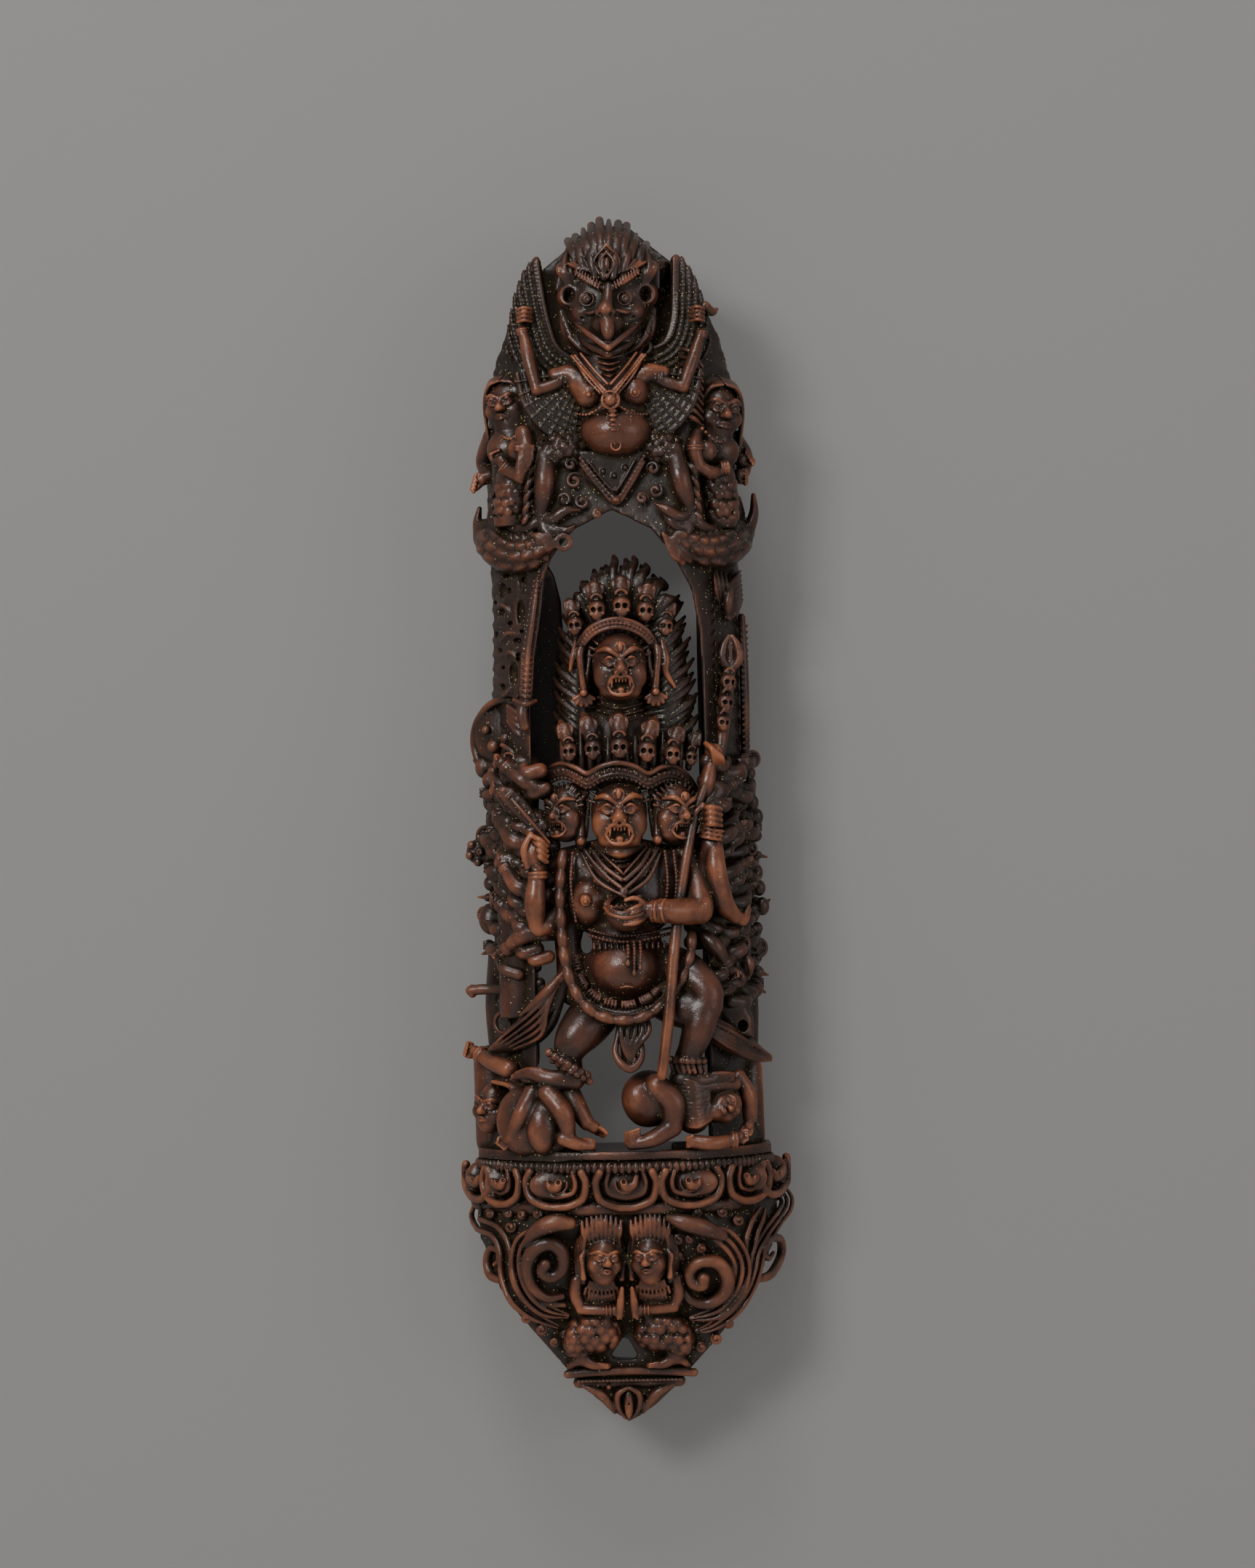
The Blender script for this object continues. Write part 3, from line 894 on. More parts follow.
# ---- serpent figures on the shell's sides ---------------------------------------------------
def long_hair(c, p, s, yaw=0.0, roll=0.0):
    """Hair parted over the forehead that falls in locks to the shoulders."""
    at = place(p, s, yaw, roll)
    c.ball(at(0, -0.3, 0.2), (0.82 * s, 0.82 * s, 0.96 * s), 0.1, turn=yaw, roll=roll)
    for e in SIDES:
        for t in np.linspace(0, 1, 8):
            c.tube([at(0.06 * e, 0.6 - 0.75 * t, 0.9 + 0.32 * t),
                    at((0.5 + 0.16 * t) * e, 0.5 - 0.62 * t, 0.74 + 0.2 * t),
                    at((0.78 + 0.14 * t) * e, 0.26 - 0.55 * t, 0.05),
                    at((0.8 + 0.2 * t) * e, 0.1 - 0.45 * t, -1.2)],
                   [0.05 * s, 0.08 * s, 0.082 * s, 0.05 * s], 0.01 * s)


def scaly_waist(c, e, lo, hi, seed, xs):
    """Scales between lo and hi, with five locks beside them that start at xs from the middle."""
    c.emboss(lo, hi, pebbles(lo, hi, 1.7, 0.7, seed=seed), front=-16)
    for i in range(5):
        c.tube([on(e * (xs[0] + 0.3 * i), 64.4 - 2.1 * i, 1.4),
                on(e * (xs[1] + 0.2 * i), 63 - 2.1 * i, 2.4),
                on(e * (xs[2] + 0.2 * i), 60.4 - 2.0 * i, 1.2)], [0.4, 0.6, 0.25], 0.1)


@piece("upper_naga_left", (-26, -34, 54), (-12.5, -8, 88), tone=0.5, voxel=0.18)
def upper_naga_left(c):
    c.tube([on(-16.6, 78, -1.6), on(-17.4, 72, -1.0), on(-18.4, 60, -0.6)], [3.2, 3.6, 3.4], 0.5)
    face(c, (-18.6, -25.4, 75.8), 4.9, yaw=-18, roll=-4, fierce=False, width=0.72)
    long_hair(c, (-18.6, -25.4, 75.8), 4.9, yaw=-18, roll=-4)
    # shoulders, breast and two pairs of arms with the hands joined
    c.ball(on(-18.4, 67.8, 0.6), (4.0, 3.4, 3.8), 0.6)
    c.ball(on(-16.6, 67.4, 2.4), (2.0, 1.9, 2.2), 0.5)
    c.ball(on(-19.9, 67.6, 2.2), (1.9, 1.9, 2.1), 0.5)
    c.tube([on(-15.6, 70.4, 1.6), on(-15.2, 66.4, 3.0), on(-16.4, 62.8, 3.4)], [1.6, 1.6, 1.3], 0.3)
    c.tube([on(-16.4, 62.8, 3.4), on(-18.2, 63.6, 3.8), on(-19.6, 65.4, 3.6)], [1.3, 1.15, 0.95], 0.2)
    c.tube([on(-21.6, 70.4, 1.2), (-23.2, -18, 66.4), (-22.2, -20.4, 63.4)], [1.6, 1.5, 1.2], 0.3)
    hand(c, on(-19.4, 65.0, 3.2), (-0.5, -0.1, 0.9), (-0.4, -0.8, 0.2), (0.9, 0, 0.4), 0.8, 0.8)
    hand(c, (-22.2, -20.2, 63.2), (-0.7, -0.2, -0.1), (-0.2, -0.5, -1), (0.3, 0, 1), 1.0)
    bracelet(c, on(-18.9, 64.2, 3.7), (-1, 0, 0.9), 1.15, 3, 0.28)
    bracelet(c, on(-15.3, 67.6, 2.8), (0, 0, 1), 1.75, 2, 0.3)
    c.beads([on(-15.8, 71.2, 2.4), on(-18, 69.4, 3.6), on(-20.6, 71, 2.6)], 0.34, 13, 0.06)
    c.tube([on(-17.4, 62, 0.6), on(-18.2, 55, 0.6)], [3.4, 3.2], 0.4)
    scaly_waist(c, -1, (-22.8, 55), (-14, 62), 12, (13.4, 14.8, 15.2))


@piece("upper_naga_right", (12.5, -35, 53), (27.6, -8, 89), tone=0.5, voxel=0.18)
def upper_naga_right(c):
    c.tube([on(17.4, 78, -1.6), on(18, 72, -1.0), on(19, 58, -0.6)], [3.2, 3.6, 3.4], 0.5)
    face(c, (19.5, -25.2, 73.8), 5.5, yaw=20, roll=4, fierce=False, width=0.68)
    long_hair(c, (19.5, -25.2, 73.8), 5.5, yaw=20, roll=4)
    for t in np.linspace(0, 1, 9):
        c.tube([on(12.6 + 0.5 * t, 85.4 - 12 * t, 0.4), on(14.8 + 0.2 * t, 84.6 - 12 * t, 1.6),
                on(16.8, 82 - 11 * t, 1.4)], [0.3, 0.5, 0.35], 0.05)
    c.ball(on(19.2, 66.8, 0.6), (4.2, 3.4, 3.6), 0.6)
    c.ball(on(17.4, 66.6, 2.4), (1.9, 1.9, 2.1), 0.5)
    c.ball(on(20.8, 66.2, 2.2), (1.9, 1.9, 2.1), 0.5)
    # upper arm in front, hands joined at the outer edge
    c.tube([on(15.8, 70, 1.2), on(15.2, 67, 2.2), on(15.8, 64, 2.6)], [1.0, 1.35, 1.2], 0.3)
    c.tube([on(15.8, 64, 2.6), on(18.2, 62.8, 3.2), on(21, 63.8, 3.0)], [1.2, 1.15, 1.0], 0.25)
    c.tube([on(22.6, 69.4, 1.4), (24.4, -18.4, 66.4), (24.2, -19, 63.6)], [1.6, 1.6, 1.3], 0.3)
    hand(c, (22.6, -21.4, 64.8), (0.8, 0.2, 0.6), (0.3, -0.7, -0.4), (-0.5, 0, 0.8), 1.1)
    hand(c, (22.2, -22.6, 63), (0.9, 0.2, -0.1), (0.2, -0.6, -0.8), (0, 0, 1), 0.85)
    bracelet(c, on(20.4, 63.6, 3.7), (1, 0.3, 0.1), 1.2, 3, 0.28)
    bracelet(c, on(15.3, 67.2, 2.2), (0, 0, 1), 1.45, 2, 0.26)
    c.beads([on(16.6, 70.6, 3.0), on(19.4, 68.2, 3.6), on(22.4, 69.8, 2.4)], 0.36, 13, 0.06)
    c.tube([on(17.4, 63, 1.4), on(19.4, 61.6, 2.6), on(22.2, 62, 1.6)], [0.5, 0.6, 0.4], 0.1)
    c.tube([on(19, 62, 0.6), on(19.6, 55, 0.4)], [3.6, 3.4], 0.4)
    scaly_waist(c, 1, (15, 54), (24, 62), 13, (13.6, 15, 15.6))


def naga_tail(c, flare, body):
    """A scaly tail along body that ends in a fin through the points of flare."""
    c.tube([on(x, z, 0.2) for x, z in body], [2.9, 3.6, 3.3, 2.0], 0.5)
    lo = (min(x for x, z in body) - 2, min(z for x, z in body) - 4)
    hi = (max(x for x, z in body) + 2, max(z for x, z in body) + 4)
    c.emboss(lo, hi, scales(body, 4.0, 2.1, 0.75), front=-14)
    c.tube(flare, [0.45, 0.9, 1.2, 1.25, 0.9], 0.3, flat=1.6)


@piece("naga_tail_left", (-26, -34, 44.5), (-7.5, -10, 59.5), tone=0.45, voxel=0.2)
def naga_tail_left(c):
    naga_tail(c, [(-24.2, -17.5, 57.8), (-24.6, -17.5, 54.8), (-23.6, -18.8, 51.4), (-22, -21.6, 48.6),
                  (-19.4, -25.6, 46.6)], [(-22.6, 52.6), (-19.4, 49.6), (-15.4, 49.2), (-11.6, 50.6)])
    c.tube([on(-21.6, 58, 0.6), on(-21.6, 55.2, 0.4), on(-19.6, 53, 0.8)], [0.8, 1.1, 0.8], 0.3)
    for i in range(3):
        c.tube([on(-14 + 1.8 * i, 51.8 - 0.2 * i, 2.2), on(-11.4 + 1.4 * i, 51.6, 2.4),
                on(-9.6 + 0.6 * i, 53 - 0.5 * i, 1.8)], [0.7, 0.8, 0.4], 0.15)
    c.ring(on(-8.8, 50.6, 0.6), 1.2, 0.5, 0.2)


@piece("naga_tail_right", (7.5, -34, 44.5), (27.4, -10, 60.5), tone=0.45, voxel=0.2)
def naga_tail_right(c):
    naga_tail(c, [(26, -17, 59.3), (26, -17, 56), (24.9, -18.2, 52.8), (24, -20.4, 50.2), (22, -24, 48)],
              [(23.4, 53), (21, 50.2), (17, 49.4), (12, 51)])
    c.tube([on(22.6, 58.4, 0.2), on(23, 55.4, 0.4), on(21.6, 53.2, 0.8)], [1.2, 1.4, 1.0], 0.3)
    for i in range(3):
        c.tube([on(15 - 1.2 * i, 47.4 - 0.4 * i, 1.0), on(12.6 - 0.8 * i, 48.8 - 0.3 * i, 1.4),
                on(10.4 - 0.6 * i, 51 + 0.4 * i, 0.8)], [0.6, 0.75, 0.35], 0.15)


# ---- weapons on the pillars -----------------------------------------------------------------
@piece("sword", (-18.5, -33.5, 17), (-11, -27, 48), tone=0.3, voxel=0.18)
def sword(c):
    spine = [(-16.1, -30.6, 22), (-15.6, -30.8, 30), (-14.4, -31, 38), (-13.2, -30.6, 46.6)]
    c.slab([(-17.3, 22), (-16.9, 30), (-15.6, 38), (-14.5, 44), (-13.1, 47.2), (-12.3, 44.6),
            (-13.1, 38), (-14.4, 30), (-15, 22)], -30.4, -28, 0.1, edge=0.3)
    c.tube(spine, [0.55, 0.6, 0.55, 0.2], 0.1)
    for t in np.linspace(0, 1, 24):
        z = 23 + 23 * t
        x = -16.1 + 0.5 * t + 2.5 * t ** 1.6
        c.tube([(x - 0.9 + 0.5 * t, -30.6, z + 0.35), (x, -31.2, z - 0.25)], 0.27, 0.05)
        c.ball((x + 0.75 - 0.4 * t, -30.7, z), 0.32, 0.04)
    c.tube([(-16.4, -30, 22.4), (-16.8, -30.4, 20), (-16.4, -30.4, 17.6)], [0.8, 1.1, 0.9], 0.2)
    c.tube([(-18.2, -29.6, 22.4), (-16.2, -31, 21.6), (-14.4, -30, 22.2)], [0.4, 0.6, 0.4], 0.1)


@piece("plumed_spear", (18.5, -30, 10), (26, -13, 47), tone=0.32, voxel=0.2)
def plumed_spear(c):
    c.tube([(23.6, -16.4, 11), (23.7, -17, 24), (23.4, -17.4, 37)], [0.8, 0.85, 0.7], 0.2)
    for i in range(22):
        z = 12 + 1.1 * i
        c.tube([(24.3, -16.6, z + 0.3), (23.2, -17.9, z - 0.2)], 0.3, 0.05)
    c.tube([on(20.7, 36.5, 0.8), on(20.9, 40, 1.6), on(21.4, 44.6, 0.6)], [0.5, 0.9, 0.4], 0.2)
    for i in range(7):
        c.tube([on(20.9, 36.6 + 0.95 * i, 1.2), on(22.4, 38.2 + 1.0 * i, 1.5),
                on(23.7 - 0.06 * i, 40.4 + 0.85 * i, 0.9)], [0.5, 0.6, 0.2], 0.1)
    # heads and prongs stacked on the staff's upper end
    c.tube([on(18.8, 12, 1.6), on(19.8, 20, 1.4), on(20.9, 28, 1.2)], [1.0, 1.3, 1.1], 0.3)
    for x, z, s in ((19.3, 17.6, 1.5), (19.9, 21.2, 1.75), (20.4, 24.9, 1.75)):
        skull(c, on(x, z, 2.0), s, yaw=26, roll=6)
    p = on(21.1, 30, 1.8)
    for d in SIDES:
        c.tube([(p[0] + 0.3 * d, p[1], p[2] - 2.6), (p[0] + 1.5 * d, p[1], p[2] - 0.8),
                (p[0] + 1.2 * d, p[1], p[2] + 1.6), (p[0] + 0.3 * d, p[1], p[2] + 3.4)],
               [0.6, 0.8, 0.7, 0.35], 0.12)
    c.tube([(p[0], p[1] + 0.3, p[2] - 2), (p[0], p[1] + 0.2, p[2] + 3)], [0.6, 0.4], 0.1)
    # fine strands that cover the pillar beside the window
    for i in range(15):
        z = 15 + 2.0 * i
        c.tube([on(16.2, z, 0.1), on(17.4, z + 1.4, 0.6), on(18.4, z + 3.4, 0.1)], [0.35, 0.5, 0.25], 0.1)
    for i in range(4):
        c.tube([on(17.8 + 0.8 * i, 45.6 - 0.3 * i, 0.3), on(18.4 + 0.7 * i, 42.4, 0.9),
                on(19.4 + 0.4 * i, 38.6, 0.2)], [0.4, 0.55, 0.2], 0.1)


# ---- upper head -----------------------------------------------------------------------------
@piece("top_hair", (-12.5, -33, 11), (16.5, -16, 48.5), tone=-0.25, voxel=0.18)
def top_hair(c):
    c.slab([(-9.2, 12), (-9.8, 20), (-10, 26), (-9.2, 33), (-7, 38), (-3.6, 42.4), (1, 44.4), (5, 43.8),
            (9, 40.4), (12, 35), (13.2, 28), (13.4, 20), (14, 12)], -26.5, -18, 0.3, edge=1.0)
    tips = ((-6.8, 41.6), (-5.8, 43.2), (-4.6, 44.4), (-3.4, 45.2), (-2.2, 46.2), (-1.0, 46.9),
            (0.2, 47.6), (1.4, 46.9), (2.6, 47.4), (3.8, 47.8), (5.0, 47), (6.2, 46), (7.3, 45),
            (8.4, 44.2), (9.4, 43), (10.4, 41.4), (11.3, 39.8))
    for i, (tx, tz) in enumerate(tips):
        tx, tz = tx + 0.25 * math.sin(2.1 * i), tz + 0.7 * math.sin(2.4 * i)
        root, mid = 1 + (tx - 1) * 0.6, 1 + (tx - 1) * 0.88
        c.tube([(root, -28.6, 36 + (tz - 42) * 0.3), (mid - 0.3, -29.2, 0.6 * tz + 15.8),
                (tx + 0.2, -25.6, tz - 1.1), (tx, -24.6, tz)], [0.75, 0.85, 0.75, 0.4], 0.08)
        c.tube([(root, -29.3, 36 + (tz - 42) * 0.3), (mid, -29.9, 0.6 * tz + 15.8),
                (tx + 0.1, -26.4, tz - 1.4)], 0.18, 0.04)
    for i in range(19):
        t = i / 18
        z = 40.4 - 23 * t
        edge = 11.6 + 2.9 * math.sin(1.5 * t + 0.1) + 0.55 * math.sin(2.3 * i)
        c.tube([(5.4 + 1.8 * t, -28.8, z - 5.4), (8.8 + 1.2 * t, -29.6, z - 3.8),
                (edge - 1.6, -28, z - 1.4), (edge, -25.2, z + 0.5)],
               [0.5, 0.72, 0.66 + 0.1 * math.sin(1.9 * i), 0.3], 0.05)
        edge = -8.2 - 2.4 * math.sin(1.8 * t + 0.1) + 0.6 * math.sin(2.7 * i)
        c.tube([(-4.2 - 0.7 * t, -28.6, z - 5.6), (-6.4 - 0.9 * t, -29.4, z - 4),
                (edge + 1.2, -27.8, z - 1.7), (edge, -25.2, z + 0.1)],
               [0.45, 0.68, 0.62 + 0.1 * math.sin(2.2 * i), 0.3], 0.05)
    for i in range(8):
        z = 21.6 - 1.2 * i
        c.tube([(5.2, -28.6, z - 0.9), (9.6, -29.6, z - 0.3), (13.6, -26.2, z + 0.9)], [0.5, 0.66, 0.4],
               0.08)
        c.tube([(-3.8, -28.4, z - 0.8), (-6.8, -29.2, z - 0.4), (-9.8, -26.2, z + 0.6)],
               [0.5, 0.62, 0.4], 0.08)


def crown_leaf(c, p, tip, s):
    """A pointed leaf that stands on a crown's skull, with a jewel in its middle."""
    x, y, z = p
    top = np.array((tip[0], y + 2.6, tip[1]))
    mid = np.array(((x + tip[0]) / 2, y + 1.0, (z + tip[1]) / 2 + 0.9))
    c.tube([(x, y + 1.2, z + 0.8), mid, top], [0.66 * s, 0.76 * s, 0.28 * s], 0.15)
    jewel = 0.62 * mid + 0.38 * top + (0, -1.3, 0)
    c.ring(jewel, 0.42 * s, 0.1 * s, 0.05)
    c.ball(jewel, 0.19 * s, 0.04)
    for e in SIDES:
        c.tube([mid + (0.6 * s * e, -0.7, -1.0), mid + (0.7 * s * e, -0.5, 0.8),
                top + (0.12 * s * e, -0.3, 0)], [0.28, 0.32, 0.18], 0.06)


@piece("top_crown", (-10.5, -37, 32), (12.5, -25, 45), tone=0.42, voxel=0.18)
def top_crown(c):
    for x, z, s, lean, tip in ((-6.9, 35.6, 1.75, -16, (-8.1, 40.4)),
                               (-2.9, 38.3, 1.95, -6, (-3.6, 43.4)), (1.4, 38.9, 2.05, 0, (1.4, 44.4)),
                               (5.7, 38.0, 1.95, 6, (6.4, 43)), (9.2, 35.2, 1.8, 18, (10.5, 39.8))):
        p = (x, -32 + 0.03 * x * x, z)
        crown_leaf(c, p, tip, s)
        skull(c, p, s, yaw=1.5 * x, roll=0.4 * lean)
    rim = [(-6.9, -30.4, 31.6), (-5, -32, 34.4), (-2.6, -33, 36), (0.4, -33.4, 36.6), (3.4, -33, 36),
           (6, -32, 34.4), (8, -30.4, 31.4)]
    c.tube(rim, 0.45, 0.15)
    c.tube([(x * 0.95, y - 0.2, z - 1.5) for x, y, z in rim], 0.38, 0.15)
    c.beads([(x * 0.98, y - 0.35, z - 0.75) for x, y, z in rim], 0.42, 27, 0.08)


@piece("top_head", (-8.5, -38, 16), (11.5, -22, 36.5), tone=0.56, voxel=0.16)
def top_head(c):
    face(c, (0.9, -30.8, 28.2), 6.2, yaw=2, width=0.8)
    open_mouth(c, (0.9, -30.8, 28.2), 6.2, yaw=2)
    for i in range(13):
        a = math.radians(5 + 14.2 * i)
        c.tube([(0.9 + 4.3 * math.cos(a), -31.6, 29.6 + 4.4 * math.sin(a)),
                (0.9 + 5.6 * math.cos(a), -31, 29.8 + 5.9 * math.sin(a))], 0.34, 0.06)
    c.tube([(0.8, -27.6, 15), (0.8, -28.6, 24)], [4.6, 3.6], 0.5)
    for i in range(5):
        c.tube([(-3 - 0.1 * i, -30, 22.6 - 1.2 * i), (0.8, -32.4 - 0.1 * i, 21.7 - 1.2 * i),
                (4.6 + 0.1 * i, -30, 22.6 - 1.2 * i)], 0.34, 0.25)
    for e, x in ((-1, -5.3), (1, 7.0)):
        c.tube([(x, -30.6, 32.2), (x + 0.9 * e, -31.4, 30.6), (x + 0.5 * e, -31.6, 26),
                (x + 0.1 * e, -31.4, 23)], [0.6, 0.75, 0.6, 0.8], 0.15)
        c.tube([(x - 0.9 * e, -30.8, 31.4), (x - 0.5 * e, -31.2, 27.6), (x + 0.1 * e, -31, 24)],
               [0.35, 0.4, 0.5], 0.15)
        for i in range(6):
            a = math.radians(200 + 28 * i)
            c.tube([(x + 0.3 * e, -31.8, 23.4),
                    (x + 0.3 * e + 1.9 * math.cos(a), -31.6, 23 + 1.9 * math.sin(a))], [0.4, 0.42], 0.08)
        c.ball((x + 0.3 * e, -32.3, 23.4), 0.75, 0.1)
    c.tube([(8.6, -30.6, 32.6), (9.3, -31, 29.4), (9.2, -31, 27), (10.8, -30.4, 24.2)],
           [0.4, 0.7, 0.65, 0.3], 0.15)
    c.tube([(-6.9, -30.4, 33), (-7.4, -31, 30), (-8, -30.8, 27.6)], [0.35, 0.6, 0.3], 0.15)


# ---- main heads -----------------------------------------------------------------------------
@piece("main_crown", (-13, -39, 6), (18, -21, 21), tone=0.42, voxel=0.16)
def main_crown(c):
    c.tube([(0.6, -25.4, 6), (0.6, -25.4, 15)], [8.6, 7.6], 0.3)
    for i in range(15):
        x = -9.4 + 1.6 * i
        c.tube([(x, -33.4 + 0.035 * x * x, 9.6), (x * 1.02, -33.6 + 0.035 * x * x, 13),
                (x * 1.04, -31.4 + 0.03 * x * x, 17.2)], [0.6, 0.6, 0.25], 0.1)
    for x, z, s, lean, tip in ((-8.3, 12.9, 1.75, -18, (-9.9, 18.2)),
                               (-4.1, 13.2, 1.9, -14, (-5.7, 19.6)), (0.6, 13.4, 2.05, 0, (0.5, 20)),
                               (5.4, 12.7, 1.95, 12, (7.1, 18.6)), (10.0, 12.0, 1.85, 18, (11.9, 17.2)),
                               (13.4, 11.4, 1.45, 26, (15.1, 16.2))):
        y = -35.6 + 0.036 * x * x
        crown_leaf(c, (x, y, z), tip, s)
        skull(c, (x, y, z), s, yaw=1.4 * x, roll=0.25 * lean)


DIADEM = [(-13.4, -27, 8.2), (-12, -30.2, 10.0), (-9.6, -32.8, 10.8), (-7.2, -34.4, 9.9),
          (-5.2, -35.2, 8.9), (-2.8, -36.4, 10.1), (0.2, -36.8, 10.7), (3.2, -36.2, 10.0),
          (5.6, -34.8, 8.7), (8, -33.4, 9.7), (10.4, -31.6, 9.9), (12.8, -29, 8.2), (14.3, -26.6, 6.0)]


@piece("diadem", (-15, -39, 3), (16, -23, 12.5), tone=0.46, voxel=0.16)
def diadem(c):
    c.tube(DIADEM, [0.4, 0.5, 0.5, 0.4], 0.08)
    c.tube([(x, y + 1.2, z - 1.2) for x, y, z in DIADEM], 1.0, 0.2)
    c.tube([(x, y + 1.4, z - 2.2) for x, y, z in DIADEM], 0.7, 0.2)
    c.beads([(x, y + 0.2, z - 1.15) for x, y, z in DIADEM], 0.42, 37, 0.04)
    c.tube([(x, y + 0.4, z - 1.95) for x, y, z in DIADEM], 0.24, 0.06)
    c.beads([(x, y + 0.7, z - 2.6) for x, y, z in DIADEM], 0.32, 44, 0.04)
    # hairline over the middle face
    for i in range(11):
        a = math.radians(10 + 16 * i)
        c.tube([(0.3 + 4.2 * math.cos(a), -33.6, 2.9 + 4.2 * math.sin(a)),
                (0.3 + 5.4 * math.cos(a), -33.2, 3.1 + 5.2 * math.sin(a))], 0.3, 0.05)


@piece("main_head", (-9, -41, -11), (9.5, -23, 10), tone=0.85, voxel=0.16)
def main_head(c):
    face(c, (0.3, -31.4, 1.7), 6.5)
    open_mouth(c, (0.35, -31.4, 1.7), 6.5)
    c.tube([(-4.2, -31, -4), (0.3, -34.4, -5.6), (4.8, -31, -4)], [0.8, 1.0, 0.8], 0.5)
    for e, x in ((-1, -6.0), (1, 6.6)):
        c.tube([(x - 0.4 * e, -31, 5.4), (x + 0.9 * e, -31.6, 3.4), (x + 0.5 * e, -32, 0),
                (x + 0.6 * e, -32, -3.4)], [0.7, 0.8, 0.55, 0.95], 0.15)
        c.tube([(x - 0.9 * e, -31, 4.4), (x - 0.6 * e, -31.4, 1), (x - 0.1 * e, -31.6, -2.4)],
               [0.35, 0.4, 0.5], 0.15)
        c.ball((x + 0.6 * e, -32.6, -3.2), 0.9, 0.15)
    c.tube([(0.3, -28, -11), (0.3, -28.6, -3)], [5.4, 4.2], 0.5)
    for i in range(5):
        c.tube([(-3.6 - 0.35 * i, -30.4, -4.9 - 1.1 * i), (0.3, -33.2 - 0.25 * i, -5.9 - 1.1 * i),
                (4.2 + 0.35 * i, -30.4, -4.9 - 1.1 * i)], 0.4, 0.25)


def side_head(c, p, s, mouth, yaw, roll):
    """A fierce head of half height s that looks aside, with a mouth of its own size."""
    face(c, p, s, yaw=yaw, roll=roll, width=0.7)
    open_mouth(c, p, mouth, yaw=yaw, roll=roll)
    hairline(c, p, s, yaw=yaw)


@piece("side_head_left", (-15, -36, -6), (-4.5, -20, 10), tone=0.62, voxel=0.16)
def side_head_left(c):
    side_head(c, (-8.9, -29.4, 1.9), 5.1, 4.9, yaw=-34, roll=-4)
    c.tube([(-7.6, -30.6, 6), (-7.2, -31.4, 1), (-6.6, -31, -4)], [1.4, 1.3, 1.0], 0.4)


@piece("side_head_right", (5, -37, -6.5), (16, -20, 9), tone=0.68, voxel=0.16)
def side_head_right(c):
    side_head(c, (9.8, -29.2, 1.5), 5.6, 5.3, yaw=30, roll=5)
    c.tube([(13.2, -26, 5), (13.6, -25.6, 0), (12.8, -25.6, -4)], [1.0, 1.2, 0.8], 0.3)


# ---- body -----------------------------------------------------------------------------------
@piece("torso", (-13.5, -40, -37), (14.5, -19, -3), tone=0.74, voxel=0.22)
def torso(c):
    c.tube([(-9.6, -27.4, -8), (0, -28, -7), (10, -27.4, -8)], [3.6, 4.4, 3.6], 0.6)
    c.ball((0.4, -27.6, -13), (10.6, 6.2, 8.6), 1.2)
    c.ball((1, -27.8, -27), (8.8, 6.6, 8.0), 1.2)
    c.ball((-5.6, -31.6, -14.2), (3.6, 3.2, 4.2), 0.8)
    c.ball((-6, -34.6, -13.8), 1.1, 0.4)
    c.ball((-6, -35.7, -14.1), 0.45, 0.15)
    c.ring((-6, -35.3, -14.1), 0.75, 0.16, 0.1)
    c.ball((0.9, -31.2, -26.4), (6.3, 5.2, 5.7), 0.8)
    c.ball((1, -29.8, -21.2), (6.5, 4.6, 4.0), 0.8)
    c.ball((1.1, -36.3, -30.2), (0.9, 0.8, 0.5), -0.3)
    c.tube([(0, -36.1, -29.6), (1.1, -36.4, -29.4), (2.2, -36.1, -29.6)], 0.2, 0.15)
    c.tube([(-9.4, -27.6, -14), (-9.2, -27, -22), (-8.2, -28, -30)], [3.0, 2.6, 3.2], 0.6)
    c.ball((-6, -30, -22.0), (1.1, 14, 1.8), -0.4)


def chest_string(c, points, r, n):
    """n beads of radius r on a cord through the points."""
    c.beads(points, r, n, 0.08)
    c.tube([(x, y + 0.35, z) for x, y, z in points], r * 0.75, 0.1)


@piece("necklaces", (-11, -40, -18.5), (12.5, -28, -3.5), tone=0.4, voxel=0.18)
def necklaces(c):
    # (drop, width, radius) of each row
    rows = ((0, 0, 0.42), (1.35, 0.9, 0.5), (2.9, 2.0, 0.6), (4.2, 2.9, 0.42))
    for j, (drop, wide, r) in enumerate(rows):
        for e in SIDES:
            pts = [((4.2 + wide) * e + 0.6, -32.4 + 0.25 * j, -5 - 0.15 * drop),
                   ((2.6 + 0.7 * wide) * e + 0.7, -34.6, -6.8 - 0.8 * drop),
                   (0.4 * e + 0.9, -35.8 - 0.12 * j, -8.9 - drop)]
            if j % 2:
                chest_string(c, pts, r, int(17 + 2 * wide))
            else:
                for i in range(int(11 + 2 * wide)):
                    t = i / (10 + 2 * wide)
                    a, b, d = np.array(pts)
                    p = a * (1 - t) ** 2 + b * 2 * t * (1 - t) + d * t * t
                    c.tube([p + (0.4 * e, 0, 0.55), p + (0, -0.3, 0), p - (0.4 * e, 0, 0.55)], r * 0.6,
                           0.03)
                c.tube([(x, y + 0.5, z) for x, y, z in pts], r * 0.9, 0.1)
    c.ball((0.9, -36.2, -12.6), (0.9, 0.7, 1.0), 0.1)
    c.tube([(-4.4, -34.4, -10.4), (-0.6, -36.2, -12.4), (1.4, -36.8, -13.6)], 0.28, 0.1)
    # strands that hang beside the breast
    for e, x in ((-1, -8.2), (1, 8.4), (1, 10.0)):
        chest_string(c, [(x, -32.6, -5.4), (x + 0.4 * e, -33.6, -11), (x - 0.4 * e, -33.4, -17.6)],
                     0.36, 19)


